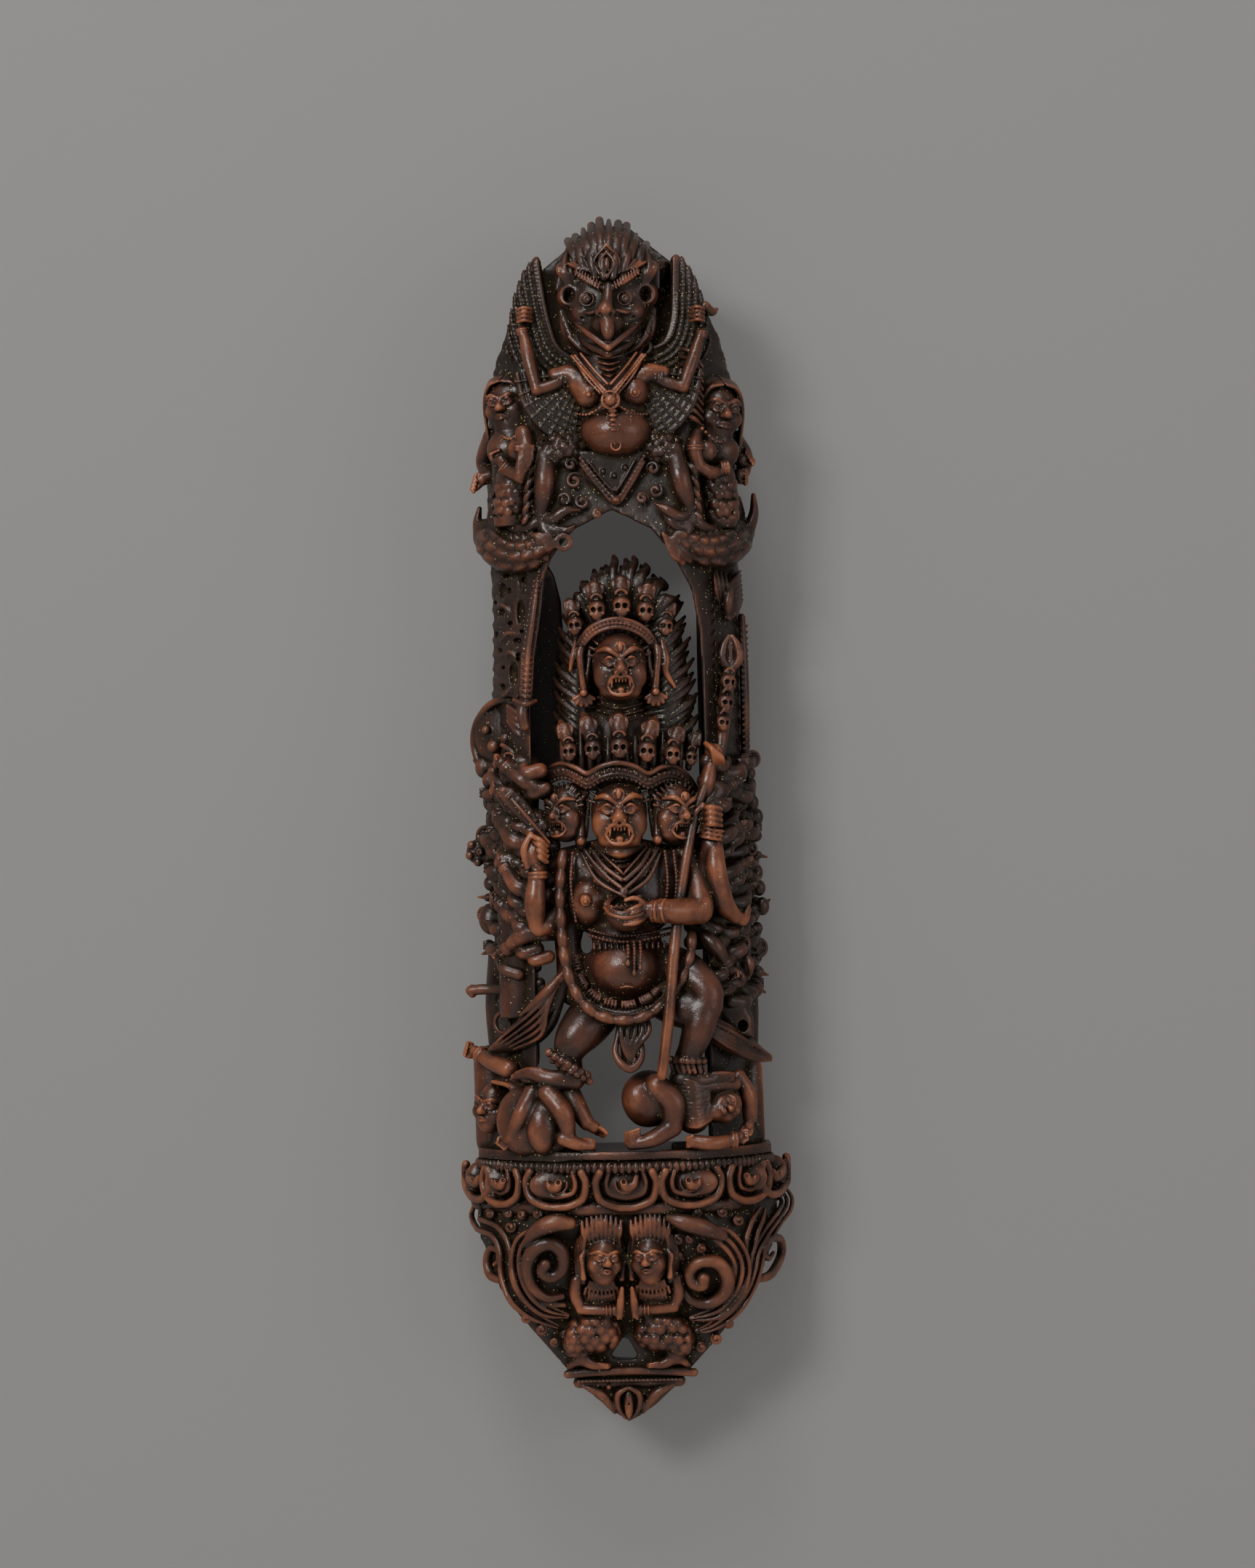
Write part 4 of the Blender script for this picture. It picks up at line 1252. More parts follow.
@piece("kilt", (-10.5, -40.5, -39), (12, -22, -17.5), tone=0.22, voxel=0.16)
def kilt(c):
    girdle = [(-5.4, -33.2, -19.2), (-2.6, -35, -20), (1, -35.8, -20.4), (5, -35, -20), (9.0, -32.6, -19.2)]
    for drop, r, n in ((0, 0.3, 26), (1.0, 0.36, 22)):
        chest_string(c, [(x, y - 0.1 * drop, z - drop) for x, y, z in girdle], r, n)
    for i in range(13):
        x = -4.6 + 1.05 * i
        c.tube([(x, -34.8 + 0.045 * (x - 1) ** 2, -21.6), (x, -35.1 + 0.045 * (x - 1) ** 2, -22.6)],
               [0.24, 0.28], 0.1)
    for x, length in ((1.4, 3.4), (2.5, 5.2), (3.6, 4.2)):
        c.beads([(x, -36.2, -21.4), (x + 0.1, -36.7, -23.2), (x, -36.9, -21.4 - length)], 0.34,
                int(2 * length), 0.05)
        c.ball((x, -37, -21.9 - length), (0.5, 0.5, 0.6), 0.08)
    c.tube([(-7.6, -30.5, -27), (-6.8, -32.4, -31), (-3, -34.4, -34.0), (1.4, -35.2, -34.9),
            (5.6, -34.2, -33.6), (8.8, -31.6, -30)], [1.3, 1.5, 1.6, 1.5, 1.3], 0.4)
    arc = [(-8.0, -31.2, -24), (-7.0, -33.4, -28.4), (-3.9, -35.6, -31.7), (0.8, -36.4, -32.9),
           (5, -35.8, -31.6), (7.2, -34.4, -29.8)]
    for t in np.linspace(0, 1, 34):
        s = spline(arc, 8)
        k = t * (len(s) - 1)
        a = s[int(k)]
        b = s[min(int(k) + 1, len(s) - 1)]
        d = (b - a) / max(np.linalg.norm(b - a), 1e-6)
        n = np.array([-d[2], 0, d[0]])
        c.tube([a + n * 0.75 + (0, 0.2, 0), a - (0, 0.25, 0), a - n * 0.75 + (0, 0.2, 0)], 0.26, 0.04,
               steps=2)
    chest_string(c, [(x * 1.04, y - 0.2, z - 1.7) for x, y, z in arc], 0.36, 38)


@piece("garland", (-13, -40, -38), (15, -28, -4), tone=0.45, voxel=0.2)
def garland(c):
    path = spline([(-9.9, -32.2, -5), (-10.6, -33.4, -12), (-10.4, -34, -20), (-9.4, -34.8, -27),
                   (-7, -36, -32), (-3.6, -36.8, -34.7), (0.4, -37, -35.4), (4, -36.8, -34.9),
                   (7.6, -35.8, -32.6), (10.8, -34.4, -28.8), (12.7, -32.8, -24), (13, -31.4, -19)], 8)
    s = lengths(path)
    step = 3.5
    for i in range(int(s[-1] / step)):
        a, b, gap = (at_length(path, s, i * step + t) for t in (0.5, step - 0.65, step - 0.1))
        c.tube([a, (a + b) / 2 + (0, -0.25, 0), b], [0.85, 1.0, 0.9], 0.02, steps=4)
        c.ball(gap + (0, 0.45, 0), 0.36, 0.02)


@piece("sash", (-3.5, -39, -46), (6.5, -29, -34), tone=0.4, voxel=0.18)
def sash(c):
    for i, x in enumerate((0.0, 1.0, 2.1, 3.2, 4.2)):
        c.tube([(x + 0.2, -34.6, -34.8), (x - 0.1 + 0.2 * i, -35.4, -37.6),
                (0.8 + 0.55 * i - 0.4, -35.4, -40.6), (1.2 + 0.2 * i, -35.2, -43)],
               [0.5, 0.5, 0.45, 0.3], 0.08)
    c.tube([(-0.4, -34, -36.6), (-0.8, -34.6, -39), (-1.2, -35, -41.2), (-0.2, -35.6, -43.2),
            (1.6, -35.8, -44.2), (3.2, -35.4, -42.8), (3.6, -34.8, -40.6), (3.1, -34.4, -38.6)],
           [0.5, 0.55, 0.6, 0.75, 0.8, 0.7, 0.55, 0.4], 0.2)
    c.tube([(1.3, -33.5, -35), (1.3, -33.6, -43)], [2.0, 1.4], 0.3)


def plain_arm(c, points, radii, cuffs=()):
    """A bare arm, with a cuff for each (point, direction, radius) in cuffs."""
    c.tube(points, radii, 0.3, steps=8)
    for p, d, r in cuffs:
        bracelet(c, p, d, r, 2, 0.36)


@piece("bowl_arm", (0.5, -41, -21), (17.5, -24, -4), tone=0.85, voxel=0.2)
def bowl_arm(c):
    plain_arm(c, [(12.2, -27.4, -6), (14, -29.6, -11), (14.6, -32.2, -15.2)], [2.9, 2.6, 2.5])
    plain_arm(c, [(14.4, -32.4, -16.1), (10.6, -35, -16.2), (7.4, -36.6, -15.8), (5.4, -37.2, -15.8)],
              [2.55, 2.4, 1.8, 1.5], [((6.4, -36.8, -16), (1, -0.3, 0), 1.75),
                                      ((7.9, -36.4, -16), (1, -0.4, 0), 1.95)])
    c.ball((4, -37.2, -15.8), (1.6, 1.4, 1.9), 0.4)
    for i in range(4):
        c.tube([(4.4, -38, -17.2 + 0.85 * i), (2.8, -39.4 + 0.1 * i, -18 + 0.9 * i),
                (0.9, -39.2 + 0.15 * i, -18.2 + 0.7 * i)], [0.5, 0.48, 0.35], 0.1)
    c.tube([(4.2, -37.6, -14.4), (2.8, -38.4, -13.6), (1.2, -38.4, -13.9)], [0.6, 0.5, 0.4], 0.15)


@piece("skull_bowl", (-4, -41.5, -21), (6, -31, -12.5), tone=0.5, voxel=0.16)
def skull_bowl(c):
    c.ball((1.3, -36.2, -16.2), (3.8, 3.4, 3.4), 0.2)
    c.ball((1.3, -37.2, -14.6), (2.9, 2.9, 1.9), -0.3)
    c.tube([(-2.5, -36.8, -15.2), (-1.4, -39, -16.4), (1.3, -39.9, -17), (4, -39, -16.4),
            (5.1, -36.8, -15.2)], 0.42, 0.15)
    c.tube([(-2.4, -36.4, -14.6), (-1, -34.8, -13.4), (1.3, -34.4, -13.1), (3.8, -34.8, -13.4)], 0.4, 0.2)
    for i in range(5):
        c.tube([(-1.4 + 0.9 * i, -38 - 0.2 * i * (4 - i) / 4, -14.9), (-0.2 + 0.7 * i, -38, -15.6)],
               0.24, 0.06)


@piece("club_arm", (-19.5, -38, -21.5), (-8, -26, 0.5), tone=0.85, voxel=0.18)
def club_arm(c):
    plain_arm(c, [(-9.6, -29, -15.6), (-12, -31, -17.8), (-14.4, -32.4, -18.8)], [2.1, 2.1, 1.7])
    plain_arm(c, [(-14.9, -32.8, -18.4), (-15.1, -34, -14), (-14.6, -33.6, -8.2)], [1.5, 1.95, 1.3],
              [((-14.6, -33.6, -9.2), (0, 0, 1), 1.55)])
    c.ball((-15.2, -34, -5.4), (1.7, 1.5, 2.6), 0.4)
    c.tube([(-16.2, -34.4, -7.6), (-16.8, -35, -4.6), (-15.6, -35, -1.8)], [0.7, 0.75, 0.5], 0.15)
    for i in range(4):
        c.tube([(-15.4 + 0.4 * i, -35, -2.2 - 1.1 * i), (-13.9, -36, -2.9 - 1.05 * i),
                (-12.7, -35, -4 - 0.95 * i)], [0.5, 0.5, 0.35], 0.08)


@piece("staff_arm", (11.5, -37, -22), (25, -20, 15.5), tone=0.76, voxel=0.2)
def staff_arm(c):
    plain_arm(c, [(17.4, -30.4, -3.6), (17.6, -31.6, -9), (18.8, -30, -14.6), (20.6, -27, -17.4)],
              [1.5, 1.9, 1.9, 1.5])
    plain_arm(c, [(15.4, -29.6, -13), (15.8, -30, -8), (16.4, -30.6, -4)], [1.5, 1.6, 1.3])
    bracelet(c, (16.9, -31, -2.4), (0.2, 0, 1), 2.0, 3, 0.36)
    c.ball((17, -31.2, 0.7), (1.9, 1.7, 2.1), 0.4)
    for i in range(4):
        c.tube([(15.2, -31.6, -0.9 + 1.0 * i), (16.9, -33.4, -0.6 + 1.0 * i),
                (18.6, -31.8, -1.0 + 1.0 * i)], [0.5, 0.55, 0.45], 0.08)
    c.tube([(15.4, -32, 2.8), (14.2, -32.2, 1.6), (13.6, -31.8, 0)], [0.6, 0.55, 0.4], 0.15)
    plain_arm(c, [(15.6, -28.6, 3.2), (16.3, -29.6, 6.6), (17, -29, 10)], [1.4, 1.5, 1.2])
    c.ball((17.6, -28.8, 12.2), (1.7, 1.5, 1.8), 0.4)
    for i in range(4):
        c.tube([(16.2 + 0.2 * i, -29.6, 13.9 - 0.2 * i), (17.4 + 0.5 * i, -31, 12.6 - 0.4 * i),
                (17.6 + 0.55 * i, -29.8, 10 + 0.1 * i)], [0.5, 0.52, 0.4], 0.08)
    c.tube([(20.8, -26.6, -17.2), (22.2, -25.4, -18.2), (23.2, -24.4, -16.4)], [1.4, 1.2, 0.8], 0.3)
    for i in range(4):
        c.tube([(21.2 + 0.4 * i, -26.8 + 0.4 * i, -18.6 + 0.2 * i),
                (22.6 + 0.3 * i, -26 + 0.4 * i, -17.4 + 0.3 * i),
                (23.6, -25 + 0.3 * i, -15.6 - 0.3 * i)], [0.42, 0.42, 0.3], 0.06)


@piece("skull_staff", (4.5, -40, -46.5), (22.5, -23, 20), tone=0.62, voxel=0.2)
def skull_staff(c):
    c.tube([(7.1, -37, -45.4), (8.4, -37.2, -36), (9.6, -36, -24), (10.8, -33.6, -15),
            (12.4, -33.0, -6), (14, -31.6, 1), (16, -30.2, 6.4), (18.4, -28.4, 12.4), (20, -26.6, 17)],
           [0.95, 1.05, 0.95, 0.9, 0.8, 0.8, 0.7], 0.2)
    c.tube([(6.7, -37.9, -45.4), (8.0, -38.1, -36), (9.2, -36.9, -24)], 0.25, 0.1)


@piece("disc", (-28, -28, 8.5), (-14.5, -8, 24.5), tone=0.45, voxel=0.2)
def disc(c):
    c.ball((-21.6, -19.4, 16.4), (5.0, 2.0, 5.8), 0.2, turn=-30)
    rim = [(-18, -24.4, 22), (-20.4, -22.8, 22.6), (-23, -20.6, 21.6), (-25.2, -18, 18.8),
           (-26, -16.6, 15.4), (-25.4, -17, 12), (-24, -18.6, 9.8)]
    c.tube(rim, [0.6, 0.75, 0.8, 0.7], 0.15)
    for p in ((-22.2, -22.2, 14.2, 1.3), (-20, -23.6, 15.6, 1.1), (-19, -23.8, 12.6, 1.2),
              (-23.6, -21, 17.2, 0.9)):
        c.ball(p[:3], p[3], 0.2)
    for i in range(5):
        c.tube([(-20.6 + 0.9 * i, -24.6 - 0.35 * i, 14.4 - 0.6 * i),
                (-18.8 + 0.7 * i, -25.8 - 0.3 * i, 13 - 0.7 * i),
                (-18 + 0.5 * i, -25.6, 10.8 - 0.4 * i)], [0.5, 0.55, 0.35], 0.08)
    for i in range(4):
        c.tube([(-19.4, -25.2, 21.4 - 0.9 * i), (-17.6, -26.6, 20 - 1.2 * i),
                (-15.6, -27, 19.4 - 1.5 * i)], [0.5, 0.65, 0.4], 0.12)


def fan_arm(c, root, elbow, wrist, s):
    """One of the many side arms, with a cuff and a hand that droops."""
    c.tube([root, elbow, wrist], [s * 1.5, s * 1.45, s * 1.0], 0.3)
    e = -1 if wrist[0] < 0 else 1
    d = np.array(wrist, float) - np.array(elbow, float)
    bracelet(c, np.array(wrist, float) - d * 0.12, d, s * 1.15, 2, 0.3)
    hand(c, wrist, d, (0.1 * e, -0.8, -0.7), np.cross(d, (0.1 * e, -0.8, -0.7)), s * 0.8)


@piece("arm_fan_left", (-25, -34, -35), (-8.5, -12, 14), tone=0.48, voxel=0.22)
def arm_fan_left(c):
    c.tube([on(-17, 10, -1), on(-18.4, -10, -0.6), on(-18.6, -34, -0.8)], [3.2, 3.6, 3.4], 0.5)
    undergrowth(c, -1, 21, 26, -24, 12, 14.5, 20)
    for root, elbow, wrist in (((-11, -27, 5), on(-16.4, 7.4, 2.2), on(-20.2, 10.6, 3.0)),
                               ((-11, -27, 0), on(-18, 2.4, 1.6), on(-21, 5.6, 2.6)),
                               ((-12, -28, -4), on(-18.4, -3.2, 2.6), on(-21.2, 0.4, 2.4)),
                               ((-12, -28, -10), on(-17.6, -11.6, 2.8), on(-20.6, -7.6, 3.0)),
                               ((-12, -28, -15), on(-18.6, -17, 1.6), on(-21.6, -14.4, 2.4)),
                               ((-12, -28, -19.6), on(-17.2, -20, 2.4), on(-20.6, -22.8, 2.6))):
        fan_arm(c, root, elbow, wrist, 1.1)


@piece("arm_fan_right", (9.5, -34, -36), (26, -12, 14), tone=0.24, voxel=0.22)
def arm_fan_right(c):
    c.tube([on(18.4, 8, -2.4), on(19.6, -10, -2), on(19.4, -34, -1.4)], [3.0, 3.2, 3.4], 0.5)
    undergrowth(c, 1, 22, 28, -32, 12, 16.5, 21.5)
    for root, elbow, wrist in (((12, -26, 3), on(17.6, 4.6, 1.2), on(21, 6.6, 2.0)),
                               ((12, -26, -4), on(18.6, -3.2, 2.8), on(21.6, -1.4, 2.4)),
                               ((12, -27, -9), on(19.4, -9.6, 1.4), on(22.6, -8, 2.0)),
                               ((13, -27, -13), on(20.4, -13, 0.6), on(23, -12.4, 1.6)),
                               ((13, -27, -19), on(17, -22.4, 1.6), on(19.4, -26.4, 2.2)),
                               ((13, -27, -22), on(20.8, -21.4, 0.6), on(23, -20.6, 1.6)),
                               ((14, -27, -27), on(19.6, -29.4, 1.2), on(22.6, -27, 1.8))):
        fan_arm(c, root, elbow, wrist, 1.0)


def lump(c, p, r, spike, stem):
    """A held emblem, worn round: a ball, a point where it has one, and a stem back into the shell."""
    c.ball(p, r, 0.2)
    if spike:
        c.tube([p, spike], [np.min(r) * 0.6, 0.22], 0.15)
    c.tube([p, np.add(p, stem)], [np.min(r) * 0.6, 1.0], 0.3)


@piece("emblems_left", (-29.2, -37.5, -42), (-10.5, -10, 13), tone=0.34, voxel=0.2)
def emblems_left(c):
    undergrowth(c, -1, 31, 20, -26, 9, 20, 23)
    # leaf-shaped club across the arm
    c.slab([(-21.4, 6.4), (-20.6, 7), (-18.6, 6.6), (-16.6, 4.6), (-14.8, 2), (-13, -1.4),
            (-12.2, -3.4), (-13.4, -3), (-16, -0.8), (-18.8, 2), (-20.8, 4.4)], -32.4, -28.6, 0.2,
           edge=0.8)
    c.tube([(-21, -30.8, 6.6), (-17.6, -32.8, 3), (-12.4, -33.6, -3.4)], [0.3, 0.45, 0.3], 0.1)
    for i in range(6):
        c.tube([(-19.6 + 1.1 * i, -32.6, 4.8 - 1.2 * i), (-18.6 + 1.0 * i, -32.4, 6.0 - 1.35 * i)],
               [0.3, 0.2], 0.08)
    for p, r, spike in (((-24.4, -18, 10.4), (1.5, 1.6, 2.0), (-26.2, -17, 11.8)),
                        ((-23.2, -20, 8), (1.4, 1.4, 1.6), None),
                        ((-23.4, -18.6, 5.6), (1.6, 1.5, 1.2), (-25, -17.6, 5.4)),
                        ((-22.2, -20.6, 1.6), (1.4, 1.4, 1.8), None),
                        ((-22.8, -19.4, -0.8), (1.2, 1.2, 1.2), (-24, -18.6, -0.2)),
                        ((-22.4, -21, -8.2), (1.3, 1.4, 1.5), None),
                        ((-23.4, -19.4, -10.8), (1.3, 1.3, 1.4), None),
                        ((-23.8, -18, -13.4), (1.0, 1.0, 0.8), (-25.8, -17, -13.3)),
                        ((-23.4, -19.4, -17.4), (2.3, 2.0, 2.8), None),
                        ((-23.2, -18.6, -23), (1.6, 1.4, 1.2), (-25.3, -17.2, -23.8)),
                        ((-20.4, -22.6, -22.6), (1.6, 1.4, 1.4), None),
                        ((-19.2, -24, -26.6), (1.1, 0.9, 0.9), None),
                        ((-18.6, -24.6, -29.4), (1.0, 0.9, 0.8), None),
                        ((-17.2, -25.4, -30.8), (1.0, 0.9, 0.9), None)):
        lump(c, p, r, spike, (4, -3, 0.6))
    # knobbed flower
    c.ball((-25.3, -17.4, -5), (2.5, 1.6, 2.4), 0.2)
    for i in range(6):
        a = math.radians(60 * i + 20)
        c.ball((-25.3 + 1.9 * math.cos(a), -18.4, -5 + 1.9 * math.sin(a)), 0.85, 0.15)
    c.ball((-25.3, -19.2, -5), 0.8, 0.1)
    c.ball((-25.3, -20, -5), 0.32, -0.08)
    c.tube([(-23.2, -18.4, -5.4), (-20, -22, -6.6)], [1.0, 1.3], 0.3)
    # curled horns
    c.ring((-23.6, -20.4, -16.6), 1.7, 0.5, 0.15, turn=-40, arc=(60, 330))
    c.ring((-21.8, -23, -14.6), 1.5, 0.45, 0.15, turn=-35, arc=(-60, 200))
    # horizontal club that stands out of the side
    c.tube([(-19, -23, -30), (-23, -19, -30.2), (-25.6, -18, -30.2), (-27.6, -17.6, -30.4)],
           [0.9, 0.9, 1.0, 0.85], 0.2)
    c.ball((-27.2, -17.6, -30.5), (0.9, 0.9, 1.25), 0.2)
    c.tube([on(-21.2, -24, -1.4), on(-21.8, -33, -1.4), on(-21.6, -40, -1.6)], [3.0, 3.2, 3.0], 0.4)
    c.ball((-21.6, -23.4, -36.4), (1.1, 2.5, 1.0), -0.3)
    c.ring((-21.6, -22.4, -36.2), 1.8, 0.4, 0.2, turn=-40)


@piece("emblems_right", (14, -31, -45), (29.5, -8, 13.5), tone=0.18, voxel=0.2)
def emblems_right(c):
    undergrowth(c, 1, 32, 26, -34, 11, 21.5, 24)
    for p, r, spike in (((23, -20.4, 10.6), (1.3, 1.2, 1.5), (24, -19, 12)),
                        ((24.2, -18.8, 8.4), (1.2, 1.2, 1.3), None),
                        ((24, -19.4, 6.2), (1.1, 1.1, 1.0), None),
                        ((24.6, -18.2, 3), (1.3, 1.3, 1.6), None),
                        ((25.4, -17, 0.4), (1.3, 1.3, 1.6), None),
                        ((25.2, -17.4, -3), (1.2, 1.2, 1.2), None),
                        ((25.4, -17, -6.6), (1.0, 1.0, 0.8), (27.2, -16.2, -7)),
                        ((25.4, -17.2, -9.6), (1.0, 1.0, 1.1), None),
                        ((25.6, -17, -12.6), (1.3, 1.3, 1.5), None),
                        ((26.2, -16.8, -16), (1.3, 1.3, 1.7), (27.6, -16, -14.8)),
                        ((25.2, -17.4, -20), (1.0, 1.0, 1.2), None),
                        ((24.6, -18.6, -22.6), (1.3, 1.2, 1.4), None),
                        ((25, -17.6, -25.4), (1.0, 1.0, 0.9), None),
                        ((25, -17.6, -28), (1.3, 1.2, 1.2), (27, -16.4, -28.6)),
                        ((24.8, -17.8, -31), (1.3, 1.2, 1.3), (26.5, -16.6, -31.8))):
        lump(c, p, r, spike, (-5, -1, -0.6))
    for z in (-5.4, -11.4, -17.6, -23.4):
        c.ring((24.4, -19.8, z), 1.0, 0.35, 0.12, turn=40)
    for x, z in ((20, -29.4), (22, -28.6), (23.6, -26.4), (21, -26.2)):
        c.tube([(x - 0.6, -25.4, z + 1.4), (x, -26.2, z), (x - 0.2, -25.2, z - 1.6)], [0.7, 0.75, 0.5],
               0.15)
    c.tube([on(20.6, -22, -1.6), on(22.2, -32, -1.4), on(22.2, -44, -1.6)], [3.0, 3.0, 2.8], 0.4)
    c.slab([(16.4, -33), (19.6, -32.4), (22.6, -33.4), (24, -36), (24, -39.6), (21.6, -39.4),
            (18, -36.4)], -26.4, -22, 0.3, edge=1.2)
    c.ball((22, -25.6, -37.4), (0.9, 2.4, 1.1), -0.25)


# ---- legs and scarves -------------------------------------------------------------------------
@piece("leg_left", (-21, -38, -48.5), (-0.5, -23, -29), tone=0.32, voxel=0.2)
def leg_left(c):
    c.tube([(-3.2, -28.6, -32.6), (-6.4, -30.8, -36.4), (-8.6, -32, -39), (-9.6, -31.8, -41.4)],
           [4.6, 4.3, 3.5, 2.6], 0.4)
    c.tube([(-9.8, -31.6, -42), (-9.2, -31, -45)], [2.5, 2.2], 0.4)
    for t in np.linspace(0, 1, 7):
        c.ball((-13 + 6.6 * t, -33 - 1.6 * math.sin(math.pi * t), -41.2 - 4.2 * t), (0.85, 0.75, 0.85),
               0.08)
        c.ball((-12.4 + 6.4 * t, -32.8 - 1.6 * math.sin(math.pi * t), -42.6 - 3.9 * t),
               (0.75, 0.7, 0.7), 0.08)
    c.tube([(-8.6, -32.4, -46.2), (-12.6, -33, -46), (-16.4, -31.6, -45), (-19.6, -29.6, -45.6)],
           [1.9, 1.7, 1.3, 0.6], 0.4, flat=0.85)
    for i in range(4):
        c.tube([(-14.6 + 0.5 * i, -33 + 0.2 * i, -44.3 - 0.75 * i),
                (-17, -32 + 0.2 * i, -44.2 - 0.7 * i), (-19.2 + 0.4 * i, -30.6, -44.9 - 0.45 * i)],
               [0.45, 0.45, 0.35], 0.1)


@piece("leg_right", (3, -39.5, -49), (20.8, -23, -22), tone=0.32, voxel=0.2)
def leg_right(c):
    c.tube([(8.6, -28, -25.4), (12.4, -30.6, -27.6), (15.4, -32.6, -30.6), (16, -33, -33.4)],
           [3.4, 3.6, 3.0, 2.3], 0.5)
    c.tube([(5.4, -29, -31), (10.6, -31.4, -33.6), (14, -32.4, -34)], [3.6, 3.6, 3.0], 0.6)
    c.tube([(15.2, -32.6, -33), (13.8, -33, -37.6), (11.8, -32, -42.6)], [3.0, 2.9, 2.1], 0.6)
    c.tube([(11.8, -31.6, -42.4), (11.4, -31, -46)], [2.3, 2.4], 0.4)
    for t in np.linspace(0, 1, 7):
        c.ball((8.8 + 5.8 * t, -32.4 - 1.8 * math.sin(math.pi * t), -42.9 - 0.4 * t),
               (0.75, 0.75, 0.75), 0.08)
        c.tube([(8.9 + 5.8 * t, -32.3 - 1.8 * math.sin(math.pi * t), -43.9 - 0.4 * t),
                (9.2 + 5.8 * t, -32.3 - 1.8 * math.sin(math.pi * t), -45 - 0.3 * t)], 0.42, 0.08)
    c.tube([(10, -32.2, -46.6), (13.6, -32.4, -46.8), (17, -31, -46.6), (20, -29, -46.4)],
           [1.5, 1.4, 1.1, 0.6], 0.4, flat=0.85)
    for i in range(4):
        c.tube([(16.4 + 0.3 * i, -32 + 0.2 * i, -45.6 - 0.55 * i),
                (18.2, -31.2 + 0.2 * i, -45.6 - 0.5 * i), (20, -30, -45.8 - 0.4 * i)], [0.4, 0.4, 0.3],
               0.1)


@piece("scarf_left", (-26, -35, -43), (-8, -18, -24), tone=0.42, voxel=0.2)
def scarf_left(c):
    for t in np.linspace(0, 1, 6):
        c.tube([(-9.8 - 0.8 * t, -31 + 0.6 * t, -26.6 - 4 * t),
                (-14.4 + 1.2 * t, -29.6 + 0.4 * t, -32.2 - 4.4 * t),
                (-19.4 + 2.0 * t, -26.8 + 0.2 * t, -37.4 - 2.6 * t),
                (-24 + 1.6 * t, -22.8 - 0.4 * t, -41 - 0.3 * t)], [0.9, 1.15, 1.0, 0.4], 0.25)
    c.tube([(-10.2, -32.2, -26.8), (-13.4, -31.8, -30.4), (-18.2, -29.4, -34.6)], [0.4, 1.0, 0.3], 0.15)
    for i in range(5):
        c.tube([(-10.4 - 0.7 * i, -32.4 + 0.1 * i, -28 - 1.1 * i),
                (-15.2 + 0.2 * i, -31.2, -33.2 - 1.2 * i),
                (-22.4 + 0.7 * i, -26 - 0.3 * i, -39.2 - 0.4 * i)], [0.3, 0.42, 0.25], 0.06)
    c.tube([(-13.6, -31, -32), (-17.6, -29, -36.2), (-22.6, -25.2, -40)], 0.25, -0.12)
    c.tube([(-12, -31, -33.6), (-16.6, -29, -37.8), (-21.4, -26, -40.6)], 0.25, -0.12)


@piece("scarf_right", (12.5, -33, -46), (28.5, -15, -33), tone=0.42, voxel=0.2)
def scarf_right(c):
    for t in np.linspace(0, 1, 5):
        c.tube([(15.4 + 0.4 * t, -30, -35.4 - 3.4 * t), (19.6 + 0.2 * t, -27.4, -38 - 3.4 * t),
                (23.6 + 0.2 * t, -22.6, -40.8 - 2.4 * t), (26.9, -18.4, -43.7)], [0.8, 0.95, 0.8, 0.45],
               0.2)
    c.tube([(16, -31, -36), (20.4, -28, -38.6), (24.6, -23, -41.4), (27.2, -18.4, -43.4)],
           [0.35, 0.45, 0.4, 0.3], 0.1)
    c.tube([(16.4, -30.4, -39.2), (20.4, -27.6, -41.8), (24.6, -22, -43.8), (27.2, -18.4, -44.1)],
           [0.35, 0.45, 0.4, 0.3], 0.1)
    for i in range(4):
        c.tube([(16 + 0.1 * i, -31, -36.8 - 0.7 * i), (20.2, -28.3, -39.4 - 0.7 * i),
                (25 + 0.2 * i, -21.6, -42.3 - 0.4 * i)], [0.25, 0.36, 0.2], 0.06)


